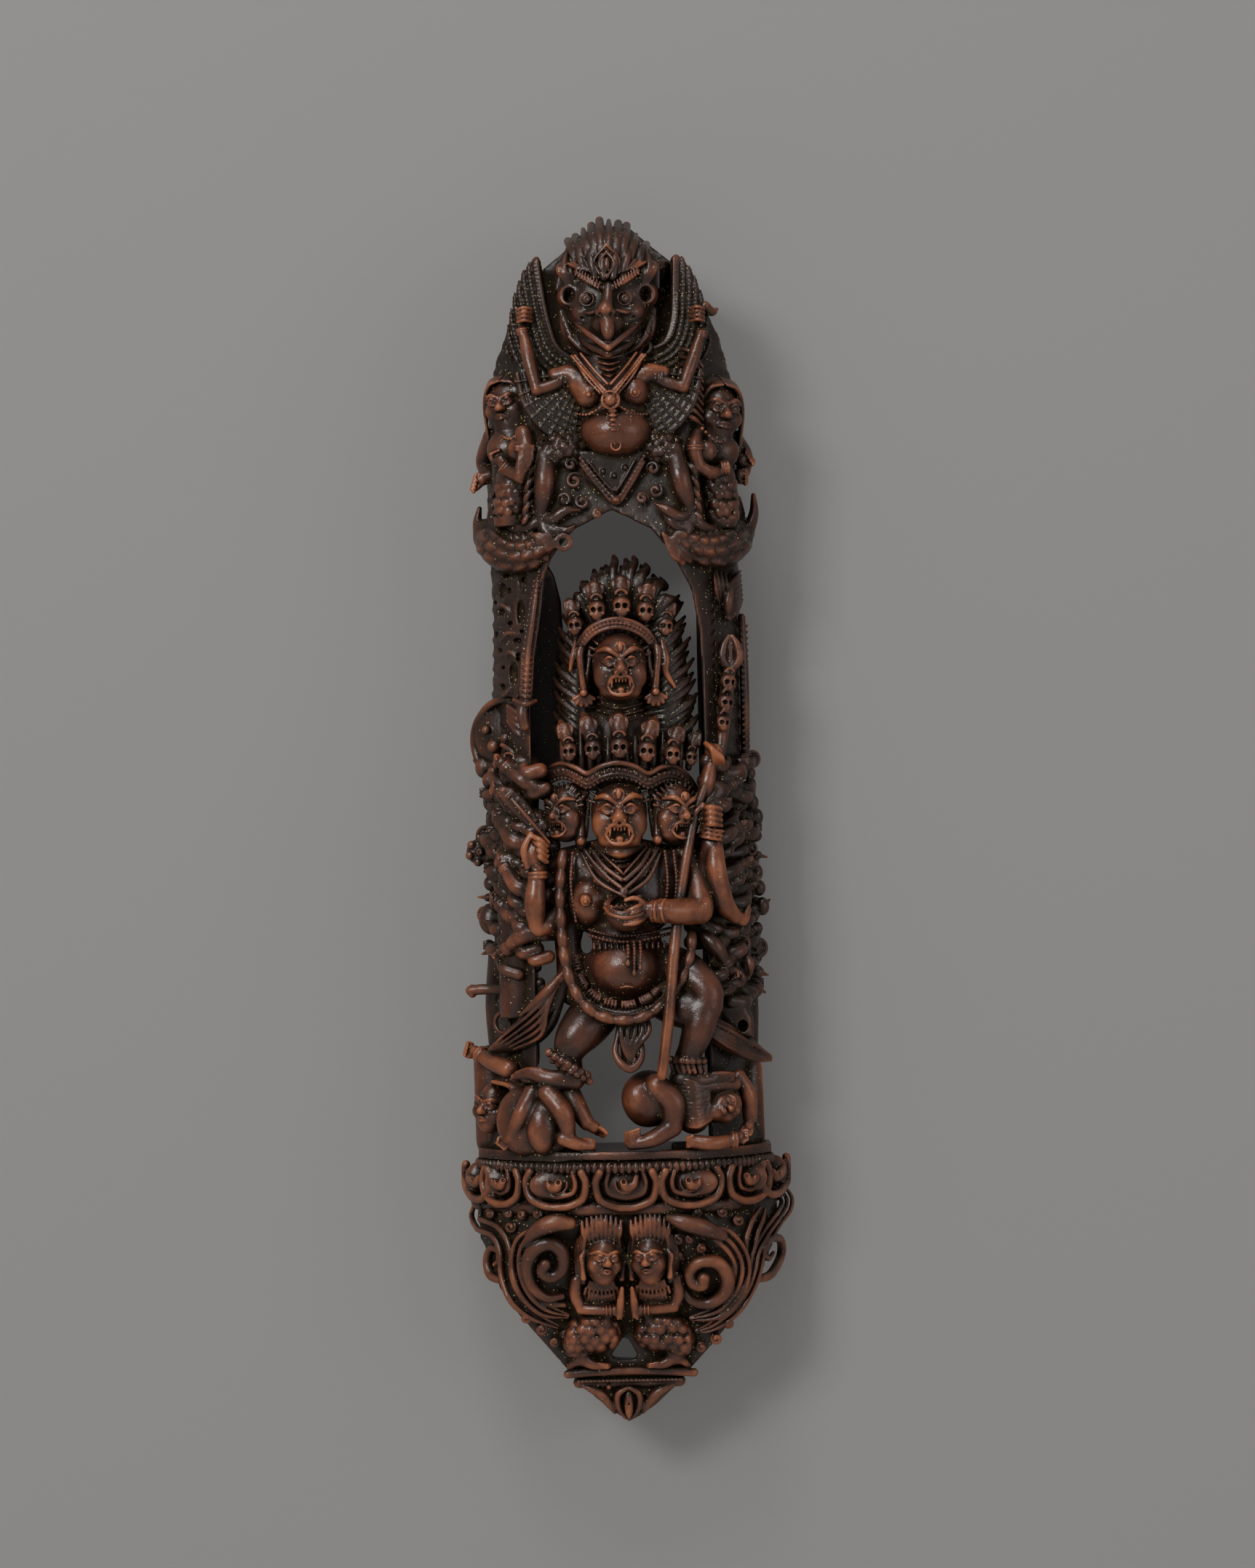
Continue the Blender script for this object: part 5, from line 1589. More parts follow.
# ---- figures under the feet -------------------------------------------------------------------
@piece("fallen_figure_left", (-29, -37, -60.5), (-1.8, -12, -39.5), tone=0.6, voxel=0.2)
def fallen_figure_left(c):
    c.tube([on(-24, -44, -2), on(-23, -58, -1)], [3.4, 4.2], 0.4)
    c.ball((-17, -28.6, -53.6), (6.0, 4.2, 6.6), 0.8)
    c.ball((-13.2, -29.8, -56), (4.4, 3.4, 4.4), 0.8)
    face(c, (-23.4, -22.4, -51.4), 4.6, yaw=-34, roll=8, fierce=False, width=0.62)
    for t in np.linspace(0, 1, 9):
        c.tube([(-23.6 + 3.2 * t, -24.4 - 2.6 * t, -46.8 + 0.6 * t),
                (-20.4 + 3.6 * t, -28.4 - 1.4 * t, -47.4 - 0.7 * t),
                (-18.6 + 2.8 * t, -29.6, -50.4 - 0.3 * t)], [0.4, 0.55, 0.25], 0.08)
    c.tube([(-16.4, -31.2, -48.6), (-18.2, -32.8, -52), (-20.2, -30.8, -56.2)], [1.7, 1.6, 1.2], 0.3)
    hand(c, (-20.4, -30.2, -56), (-0.6, 0.1, -0.8), (-0.5, -0.7, 0.2), (0.7, 0, -0.6), 0.8, 0.5)
    c.ball((-14.6, -32.4, -54.6), (2.9, 2.6, 4.8), 0.5)
    c.tube([(-13.4, -33, -48.6), (-10.8, -34.6, -52), (-9.8, -34, -56)], [2.0, 1.9, 1.3], 0.3)
    for i in range(6):
        c.tube([(-19.4 + 0.7 * i, -30.6 - 0.3 * i, -56.8 + 0.7 * i),
                (-18.2 + 0.7 * i, -31.4 - 0.3 * i, -55.4 + 0.7 * i)], [0.3, 0.24], 0.08)
    c.tube([(-10.8, -34, -56.6), (-8.4, -34.4, -57.6), (-5.8, -33.6, -58.2)], [1.4, 1.2, 0.8], 0.3)
    for i in range(4):
        c.tube([(-7.2, -34.2, -56.8 - 0.5 * i), (-6, -34, -57 - 0.5 * i),
                (-5.2, -33.6, -57.3 - 0.5 * i)], [0.38, 0.38, 0.3], 0.08)
    c.tube([(-10, -30.4, -47.6), (-8.4, -31.4, -51), (-6.6, -32, -54)], [2.0, 1.9, 1.4], 0.35)
    hand(c, (-6.4, -32.2, -54.2), (0.9, 0, -0.5), (0.5, -0.4, -0.7), (0.3, -0.8, 0.3), 0.95, 0.6)
    c.tube([(-20.6, -26.6, -44.4), (-23.6, -22.4, -43.2), (-26.2, -19, -41.9)], [1.8, 1.6, 1.2], 0.3)
    bracelet(c, (-25.8, -19.6, -42.1), (-1, 0.9, 0.5), 1.35, 2, 0.3)
    hand(c, (-26, -19.2, -42), (-0.7, 0.1, 0.4), (-0.4, -0.8, -0.2), (0.3, 0, 1), 0.9)
    c.ball((-20.6, -29.6, -52.2), (1.2, 0.9, 1.0), 0.2)


@piece("fallen_figure_right", (-1, -38, -60.5), (26.2, -14, -44), tone=0.5, voxel=0.2)
def fallen_figure_right(c):
    c.tube([on(23, -46, -1.6), on(22.6, -58, -1.6)], [3.2, 3.8], 0.4)
    c.ball((4.6, -30.2, -50), (4.8, 4.4, 5.2), 0.6)
    c.ball((3.0, -31.6, -49.6), (3.2, 3.6, 3.8), 0.6)
    c.tube([(6.2, -33.4, -47.6), (9, -33.4, -50.6), (8.8, -33.6, -54.6)], [2.3, 2.4, 1.8], 0.5)
    c.tube([(8.8, -33.6, -55), (5.2, -34.4, -57), (1.4, -34, -58)], [1.8, 1.5, 1.0], 0.35)
    for i in range(5):
        c.tube([(2.8, -34.8, -55.2 - 0.62 * i), (1.4, -34.8, -55.6 - 0.55 * i),
                (0.4, -34, -55.9 - 0.5 * i)], [0.38, 0.36, 0.28], 0.08)
    c.ball((12.6, -29.4, -51), (4.0, 3.6, 5.6), 0.8)
    for t in np.linspace(0, 1, 13):
        c.tube([(9.6 + 1.4 * t, -32.6, -46.2 - 8.4 * t), (12.4 + 0.8 * t, -33.4, -46.8 - 8.2 * t),
                (15.6, -32.2, -48 - 6 * t)], [0.4, 0.5, 0.3], 0.06)
    face(c, (18, -29.4, -51.8), 3.6, yaw=30, roll=70, fierce=False, width=0.8)
    c.tube([(21, -26.2, -46.6), (22.8, -26, -50), (22.9, -25.6, -54)], [1.4, 1.5, 1.3], 0.3)
    hand(c, (22.8, -26, -54.4), (-0.2, -0.2, -1), (-0.3, -0.8, -0.2), (1, 0.2, 0), 0.8, 0.5)
    c.tube([(12.6, -33.6, -57.6), (16, -33.8, -58), (19.8, -31.8, -57.6)], [1.25, 1.3, 1.1], 0.3)
    bracelet(c, (19.8, -31.8, -57.6), (1, 0.3, 0), 1.3, 2, 0.3)
    hand(c, (20, -31.4, -57.4), (0.9, 0.3, 0.3), (0.3, -0.8, -0.3), (0, 0.2, 1), 0.75, 0.6)
    for i in range(4):
        c.tube([(12.4 - 0.2 * i, -34.6 + 0.2 * i, -56.6 - 0.6 * i),
                (11.4, -34.2 + 0.2 * i, -56.9 - 0.55 * i)], [0.36, 0.3], 0.08)
    c.tube([(10, -31, -46.2), (15, -31.2, -47.6), (20, -28.4, -47.8)], [1.6, 1.6, 1.4], 0.4)


# ---- base ---------------------------------------------------------------------------------------
@piece(["plinth", "base_floor"], (-29, -37.5, -62), (29, -4, -57), tone=0.4)
def plinth(c):
    c.tube([base_at(x, -59.9, 0.3) for x in (-26, -22, -15, -8, 0, 8, 15, 22, 26)], 0.75, 0.3)
    c.slab([(-26.6, -61), (-26.6, -59.4), (27, -59.4), (27, -61)], -33, -7, 0.3, edge=0.5)
    # trimmed to the round of the base
    x, y = c.axes[0][:, None, None], c.axes[1][None, :, None]
    c.d[:] = np.maximum(c.d, (np.hypot(x, y - BASE_AXIS_Y) - BASE_R - 0.6).astype(np.float32))


@piece("plinth_bead_row", (-29, -37.5, -64.5), (29, -6, -60), tone=0.5, voxel=0.18)
def plinth_bead_row(c):
    c.tube([base_at(x, -62, -0.5) for x in (-26.4, -22, -15, -8, 0, 8, 15, 22, 26.6)], 1.0, 0.2)
    xs = (-26.6, -24, -20, -15, -10, -5, 0, 5, 10, 15, 20, 24, 26.8)
    path = spline([base_at(x, -62.1, 0.35) for x in xs], 6)
    s = lengths(path)
    for t in np.linspace(0, s[-1], 56):
        c.ball(at_length(path, s, t), (0.62, 0.62, 1.05), 0.04)


@piece("lotus_petals", (-30, -38.5, -71), (30.5, -6, -61.5), tone=0.76, voxel=0.2)
def lotus_petals(c):
    for x, half, depth in ((-27, 2.6, 6.2), (-22.4, 3.4, 6.6), (-12.3, 5.4, 6.8), (0.3, 5.5, 7),
                           (12, 5.4, 6.8), (22.6, 3.8, 6.8), (27.6, 2.8, 6.4)):
        top, low = -62.8, -62.4 - depth
        for inset, r, lift in ((0, 0.78, 0.9), (1.9, 0.5, 0.4)):
            h = half - inset
            if h < 1.2:
                continue
            flank = [(0.86, top), (1, -64.8), (0.86, low + 1.6 + inset * 0.6), (0.4, low + 0.25 + inset)]
            edge = [(-u, z) for u, z in flank] + [(0, low + inset)] + flank[::-1]
            c.tube([base_at(x + u * h, z, lift) for u, z in edge], r, 0.15)
        c.ball(base_at(x, -65.2, -0.8), (half * 0.9, 1.4, 3.0), 0.4)
        e = -1 if x < 0 else 1
        c.tube([base_at(x + 1.9 * e, -63.6, 0.4), base_at(x + 1.3 * e, -65.2, 0.9),
                base_at(x, -65.6, 1.1), base_at(x - 0.5 * e, -64.7, 1.2)], [0.5, 0.8, 0.95, 0.75], 0.15)
        c.ball(base_at(x - 0.4 * e, -64.5, 2.2), (0.42, 1.3, 0.5), -0.08)
        c.ring(base_at(x - 0.2 * e, -64.9, 0.9), 1.75 if half > 4 else 1.3, 0.26, 0.1, arc=(170, 370))
    c.tube([base_at(x, -69.6, -0.6) for x in (-27, -20, -10, 0, 10, 20, 28)], 1.3, 0.5)


def scroll(c, points, radii, k):
    """A tendril on the base through points (x, z, lift)."""
    c.tube([base_at(*p) for p in points], radii, k)


def panel_curls(c, spots, e):
    """Small leaf curls that fill the panel between the large fronds."""
    for x, z, r, start in spots:
        curl(c, x, z, r, start, e, 0.42, lift=0.3, where=base_at)


@piece("scrolls_left", (-29.5, -38, -97), (-7, -6, -67), tone=0.55, voxel=0.18)
def scrolls_left(c):
    # the large spiral, from its tail in to the eye
    scroll(c, ((-11.6, -85.8, 0.6), (-14.6, -86, 0.9), (-17.2, -83.6, 1.0), (-17.8, -79.8, 1.2),
               (-16.2, -76.6, 1.4), (-13.4, -75.8, 1.5), (-11.4, -77.8, 1.6), (-11.6, -80.6, 1.8),
               (-13.6, -82, 2.0), (-15.2, -80.9, 2.2), (-14.6, -79.6, 2.3)),
           [0.6, 0.9, 1.1, 1.3, 1.45, 1.4, 1.3, 1.2, 1.15, 1.1, 1.1], 0.18)
    for p in ((-12.4, -78.6), (-16, -82.6), (-16.6, -77.8)):
        c.ball(base_at(p[0], p[1], 2.4), 0.2, 0.05)
    scroll(c, ((-10, -72, 2.0), (-12.8, -71.9, 2.0), (-15.8, -73.2, 1.6), (-18, -75.8, 1.0)),
           [1.2, 1.7, 1.4, 0.8], 0.2)
    band(c, [(-15.8, -73.4, 1.4), (-18.7, -76.3, 1.2), (-19.3, -80.4, 1.0), (-18, -84.8, 1.0),
             (-14.8, -88.2, 1.0), (-10.6, -89.6, 0.8)], 2.6)
    band(c, [(-27, -69.6, 0.2), (-27.3, -73, 0.3), (-23.8, -74, 0.7), (-21.9, -77.2, 0.8),
             (-21.7, -81.7, 0.8), (-20.2, -86, 0.8), (-16.8, -89.4, 0.8), (-12.6, -91.6, 0.6)], 2.0,
         ridges=2)
    scroll(c, ((-22.8, -83, 0.2), (-24.8, -82.2, 0.3), (-25.4, -79.6, 0.4), (-24.6, -77.4, 0.5),
               (-23.2, -77.6, 0.6), (-23.2, -79.4, 0.6), (-24, -80.2, 0.5)),
           [0.7, 0.85, 0.8, 0.7, 0.6, 0.5, 0.4], 0.2)
    scroll(c, ((-11.4, -87.4, 0.8), (-14.2, -87.2, 0.7), (-16.4, -86.2, 0.4)), [0.5, 0.6, 0.3], 0.15)
    panel_curls(c, ((-20.8, -73, 1.0, 40), (-21.2, -70.6, 0.9, 200), (-15.8, -70.4, 0.9, 120),
                    (-18.4, -89.8, 0.9, 90), (-15.6, -92, 1.0, 60), (-13.2, -94.4, 0.9, 30),
                    (-11.4, -93.2, 0.8, 200), (-18.6, -70.6, 0.8, 10), (-24.6, -71, 0.8, 160)), -1)


@piece("scrolls_right", (7.5, -38, -97.5), (31.5, -6, -66.5), tone=0.52, voxel=0.18)
def scrolls_right(c):
    scroll(c, ((10, -84.6, 0.7), (11.6, -87, 0.9), (15, -87.6, 1.0), (17.8, -85.6, 1.2),
               (18.3, -82.6, 1.3), (16.6, -80, 1.4), (13.4, -79.8, 1.5), (11.6, -81.6, 1.6),
               (12, -83.6, 1.9), (13.6, -84, 2.2), (14, -82.8, 2.3)),
           [0.6, 0.9, 1.15, 1.3, 1.4, 1.35, 1.2, 1.1, 1.1, 1.2, 1.2], 0.18)
    scroll(c, ((7.4, -71.2, 1.0), (10.4, -72.2, 1.9), (14.2, -73.4, 1.9), (17.4, -75, 1.3)),
           [0.6, 1.5, 1.6, 1.0], 0.2)
    band(c, [(14.6, -73.6, 1.7), (18.6, -76, 1.5), (20.9, -80.4, 1.2), (20, -85.2, 1.0),
             (16.4, -89.2, 1.0), (11.4, -90.6, 0.7)], 2.6)
    band(c, [(28, -67.4, 0.4), (30, -71.4, 0.6), (26.6, -75.2, 0.8), (24.2, -78.8, 0.8),
             (22.9, -83.4, 0.8), (19.6, -88.6, 0.8), (15.4, -92, 0.7), (12.4, -93, 0.5)], 2.2)
    band(c, [(25, -71, 0.6), (23, -75.4, 0.9), (22.4, -79.4, 0.6)], 1.8, ridges=2)
    scroll(c, ((23.8, -83.8, 0.2), (26.4, -83.4, 0.2), (28.6, -80.8, 0.2), (28.4, -77.6, 0.3),
               (26, -77, 0.5), (25, -79, 0.5), (26, -80.4, 0.4), (27, -79.6, 0.4)),
           [0.7, 0.85, 0.85, 0.8, 0.7, 0.6, 0.5, 0.4], 0.2)
    panel_curls(c, ((9.6, -75.6, 1.0, 40), (9.4, -78.6, 0.8, 200), (17.6, -70.8, 0.9, 120),
                    (20.6, -72.6, 1.0, 90), (13.8, -77.4, 0.9, 60), (16.2, -94.4, 1.0, 130),
                    (13.4, -96, 0.9, 60), (18.4, -91.6, 0.8, 200), (11.6, -75.6, 0.8, 10),
                    (13, -70.6, 0.8, 160)), 1)


def praying_naga(c, e, x0):
    """A serpent figure on side e of x0, with joined hands and a coiled, scaly tail."""
    def at(x, z, lift=0.0):
        return base_at(x0 + e * x, z, lift)

    face(c, at(4.1, -79.0, 1.3), 4.4, yaw=-14 * e, roll=-3 * e, fierce=False, ears=True, width=0.72)
    c.ball(at(4.2, -74.6, -1.6), (3.5, 2.4, 3.2), 0.5)
    # upright locks over the brow, then long strands down both sides
    for u in np.linspace(-1, 1, 9):
        top = -70.3 - 1.5 * abs(u) ** 1.5
        c.tube([at(4.2 + 3.5 * u, top, 0.3), at(4.2 + 3.3 * u, top - 2.2, 1.2),
                at(4.15 + 2.7 * u, -76.2 - 0.4 * abs(u), 1.6 - 0.5 * u * u)], [0.3, 0.46, 0.3], 0.03)
    for i in range(4):
        z = -73.4 - 0.6 * i
        c.tube([at(6.9 + 0.5 * i, z, 1.3 - 0.3 * i), at(7.6 + 0.45 * i, -78.6, 1.5 - 0.3 * i),
                at(7.5 + 0.4 * i, -83.4, 1.1 - 0.3 * i)], [0.4, 0.5, 0.35], 0.04)
        c.tube([at(1.4 - 0.2 * i, z, 1.2 - 0.3 * i), at(0.8 - 0.2 * i, -78.6, 1.1 - 0.3 * i),
                at(1.1 - 0.2 * i, -82.6, 0.9 - 0.3 * i)], [0.35, 0.42, 0.25], 0.04)
    c.ball(at(4.6, -86.4, -1.4), (4.6, 3.4, 4.2), 0.6)
    for zz, wide in ((-82.9, 2.0), (-84.2, 2.8), (-85.4, 2.2)):
        for u in np.linspace(-1, 1, 9):
            c.tube([at(4.4 + wide * u, zz - 0.5 * (1 - u * u), 2.1),
                    at(4.4 + (wide + 0.3) * u, zz - 1.1 - 0.6 * (1 - u * u), 1.9)], [0.3, 0.34], 0.05)
    c.tube([at(8.9, -82.8, 0.6), at(9.1, -85.6, 1.2), at(8.2, -87.9, 2.0)], [1.15, 1.2, 1.0], 0.3)
    c.tube([at(8.2, -88.1, 2.2), at(5, -88.3, 2.9), at(2.4, -88.3, 3.2)], [1.0, 0.95, 0.75], 0.2)
    for i in range(3):
        bracelet(c, at(3.6 - 0.7 * i, -88.3, 3.1), (1, 0, 0), 0.92, 1, 0.22)
    c.tube([at(1.3, -89.2, 3.4), at(1.0, -86.8, 3.7), at(0.7, -84.2, 3.4)], [0.8, 0.75, 0.35], 0.12)
    c.tube([at(1.6, -88.6, 3.9), at(1.4, -86.4, 4.1)], [0.3, 0.25], 0.05)
    c.ball(at(5.6, -92.6, -0.4), (5.0, 3.6, 3.8), 0.6)
    c.tube([at(6, -91, 0), at(9.4, -94.2, 0.2), at(8, -97.6, 0.2)], [3.0, 2.6, 1.2], 0.5)
    xs = sorted((at(1.0, -97.6)[0], at(11.6, -89.2)[0]))
    lo, hi = (xs[0], -97.6), (xs[1], -89.4)
    c.emboss(lo, hi, pebbles(lo, hi, 2.0, 0.8, seed=7 if e > 0 else 9), front=-12)
    c.tube([at(8.8, -97.2, 0.6), at(6.4, -98.8, 0.9), at(3.6, -99.2, 0.9)], [1.2, 1.0, 0.6], 0.3)
    for i in range(3):
        c.tube([at(5.2, -98.6 - 0.3 * i, 1.5), at(3.6, -98.9 - 0.3 * i, 1.5)], [0.3, 0.24], 0.06)
    c.tube([at(6, -99.4, 0), at(9, -98.2, 0.6), at(10.6, -99.4, 0)], [0.6, 0.9, 0.6], 0.3)
    curl(c, x0 + 10.2 * e, -96.2, 1.2, 90, e, 0.45, lift=0.6, where=base_at)
    cut_foot_gap(c)


@piece("praying_naga_left", (-12.2, -40, -100.5), (0.4, -14, -69.5), tone=0.72, voxel=0.18)
def praying_naga_left(c):
    praying_naga(c, -1, -0.1)


@piece("praying_naga_right", (-0.2, -40, -100.5), (13.6, -14, -69.5), tone=0.68, voxel=0.18)
def praying_naga_right(c):
    praying_naga(c, 1, 0.3)


@piece("foot_ledge", (-13, -27, -103.5), (14, -8, -98.5), tone=0.5, voxel=0.18)
def foot_ledge(c):
    c.tube([base_at(x, -100.2 - 0.004 * x * x, 0.4) for x in (-11, -7, -3, 1, 5, 9, 12)], 0.8, 0.2)
    c.tube([base_at(x, -102.4, -0.8) for x in (-9, -4, 0, 4, 9.4)], 1.1, 0.3)
    c.beads([base_at(x, -102.1, 0.3) for x in (-9, -6, -3, 0, 3, 6, 9.6)], 0.42, 26, 0.05)


@piece("foot_petals", (-11, -25, -110.4), (11.5, -6, -102), tone=0.55, voxel=0.18)
def foot_petals(c):
    c.slab([(-9, -102.6), (9.8, -102.6), (5, -107), (2, -109), (0, -110), (-2.4, -108.4), (-6, -105.6)],
           -16.5, -4, 0.3, edge=0.6)
    c.ball(base_at(0, -106.2, 0.6), (0.95, 1.0, 3.0), 0.2)
    c.tube([base_at(0, -103.6, 1.6), base_at(0, -108.8, 1.4)], 0.16, -0.06)
    for e in SIDES:
        c.tube([base_at(0.3 * e, -103.5, 0.8), base_at(1.9 * e, -104.6, 1.0),
                base_at(2.0 * e, -106.8, 0.8), base_at(0.7 * e, -109.2, 0.4)], [0.4, 0.6, 0.6, 0.35],
               0.12)
        c.tube([base_at(8.4 * e, -102.9, 0.2), base_at(5.4 * e, -104.4, 0.7),
                base_at(3.4 * e, -106.6, 0.7), base_at(2.6 * e, -108.2, 0.3)], [0.35, 0.9, 0.8, 0.35],
               0.15)
    c.ball(base_at(-3.6, -103.2, 0.8), 0.5, 0.1)


# ---- from clay to objects ---------------------------------------------------------------------
# A coarse grid over the whole carving, from which the depth of every recess is read.
GRID = 0.5
GRID_LO = np.array([-32.0, -44.0, -112.0])
GRID_N = np.array([128, 94, 448])
# (cells of blur, reach in front of the surface, level taken off) for the two kinds of recess
CAVITY = (1, 0.35, 0.62)
HOLLOW = (5, 1.6, 0.75)


def sculpt_one(entry):
    """The clay of one piece, carved."""
    c = Clay(entry.lo, entry.hi, entry.voxel)
    entry.sculpt(c)
    return c


def add_to_mass(mass, c):
    """Adds a block of clay to the coarse distance field of the whole carving."""
    cuts, picks = [], []
    for i in range(3):
        g = GRID_LO[i] + GRID * np.arange(GRID_N[i])
        inside = np.nonzero((g >= c.axes[i][0]) & (g <= c.axes[i][-1]))[0]
        picks.append(np.rint((g[inside] - c.lo[i]) / c.voxel).astype(int).clip(0, c.n[i] - 1))
        cuts.append(slice(inside[0], inside[-1] + 1))
    cuts = tuple(cuts)
    mass[cuts] = np.minimum(mass[cuts], c.d[np.ix_(*picks)])


def blur(a, r):
    """Two box blurs along each axis, r cells to each side."""
    n = 2 * r + 1
    for axis in (0, 0, 1, 1, 2, 2):
        pad = [(r + 1, r) if i == axis else (0, 0) for i in range(3)]
        s = np.moveaxis(np.cumsum(np.pad(a, pad, mode="edge"), axis=axis, dtype=np.float64), axis, 0)
        a = np.moveaxis((s[n:] - s[:-n]) / n, 0, axis).astype(np.float32)
    return a


def sample(a, points):
    """Trilinear values of the grid a at points."""
    q = (points - GRID_LO) / GRID
    q = np.clip(q, 0, GRID_N - 1.001)
    i = q.astype(int)
    f = q - i
    out = np.zeros(len(points))
    for corner in np.ndindex(2, 2, 2):
        out += np.where(corner, f, 1 - f).prod(1) * a[tuple((i + corner).T)]
    return out


def make_mesh(name, points, triangles, quads):
    """A smooth-shaded mesh from points in design millimetres."""
    sides = np.repeat((3, 4), (len(triangles), len(quads)))
    corners = np.concatenate([triangles.ravel(), quads.ravel()])
    mesh = bpy.data.meshes.new(name)
    mesh.vertices.add(len(points))
    mesh.vertices.foreach_set("co", (points * MM).astype(np.float32).ravel())
    mesh.loops.add(len(corners))
    mesh.loops.foreach_set("vertex_index", corners.astype(np.int32))
    mesh.polygons.add(len(sides))
    mesh.polygons.foreach_set("loop_start", (np.cumsum(sides) - sides).astype(np.int32))
    mesh.polygons.foreach_set("use_smooth", np.ones(len(sides), bool))
    mesh.update(calc_edges=True)
    return mesh


def normals_of(mesh):
    """The normal at each point of a mesh."""
    n = np.empty(len(mesh.vertices) * 3, np.float32)
    mesh.vertex_normals.foreach_get("vector", n)
    return n.reshape(-1, 3)


def add_object(name, data):
    """A new object in the scene."""
    obj = bpy.data.objects.new(name, data)
    bpy.context.scene.collection.objects.link(obj)
    return obj


# ---- materials ---------------------------------------------------------------------------------
# Noise scales are per metre of the carving; colours are linear.
DUST = (0.058, 0.039, 0.021)
GOLD = (0.46, 0.36, 0.19)
PATCH_SCALE = 150  # patches of wear
GRAIN_SCALE = 1900  # grain of the lacquer
CLUMP_SCALE = 900  # clumps of dust
POCK_SCALE = 620  # uneven surface under the lacquer
POCK_DEPTH = 0.0003
FLECK_SCALE = 1400
FLECK_SIZE = 0.18  # in cells of that scale
SWARM_SCALE = 170  # patches in which flecks lie
SPECK_SCALE = 3000  # which of them show


def ramp(nodes, links, value, stops):
    """Colours for a value from 0 to 1, given as (position, colour) stops."""
    r = nodes.new("ShaderNodeValToRGB")
    while len(r.color_ramp.elements) < len(stops):
        r.color_ramp.elements.new(0.5)
    for element, (at, colour) in zip(r.color_ramp.elements, stops):
        element.position = at
        element.color = (*colour, 1)
    links.new(value, r.inputs[0])
    return r.outputs[0]


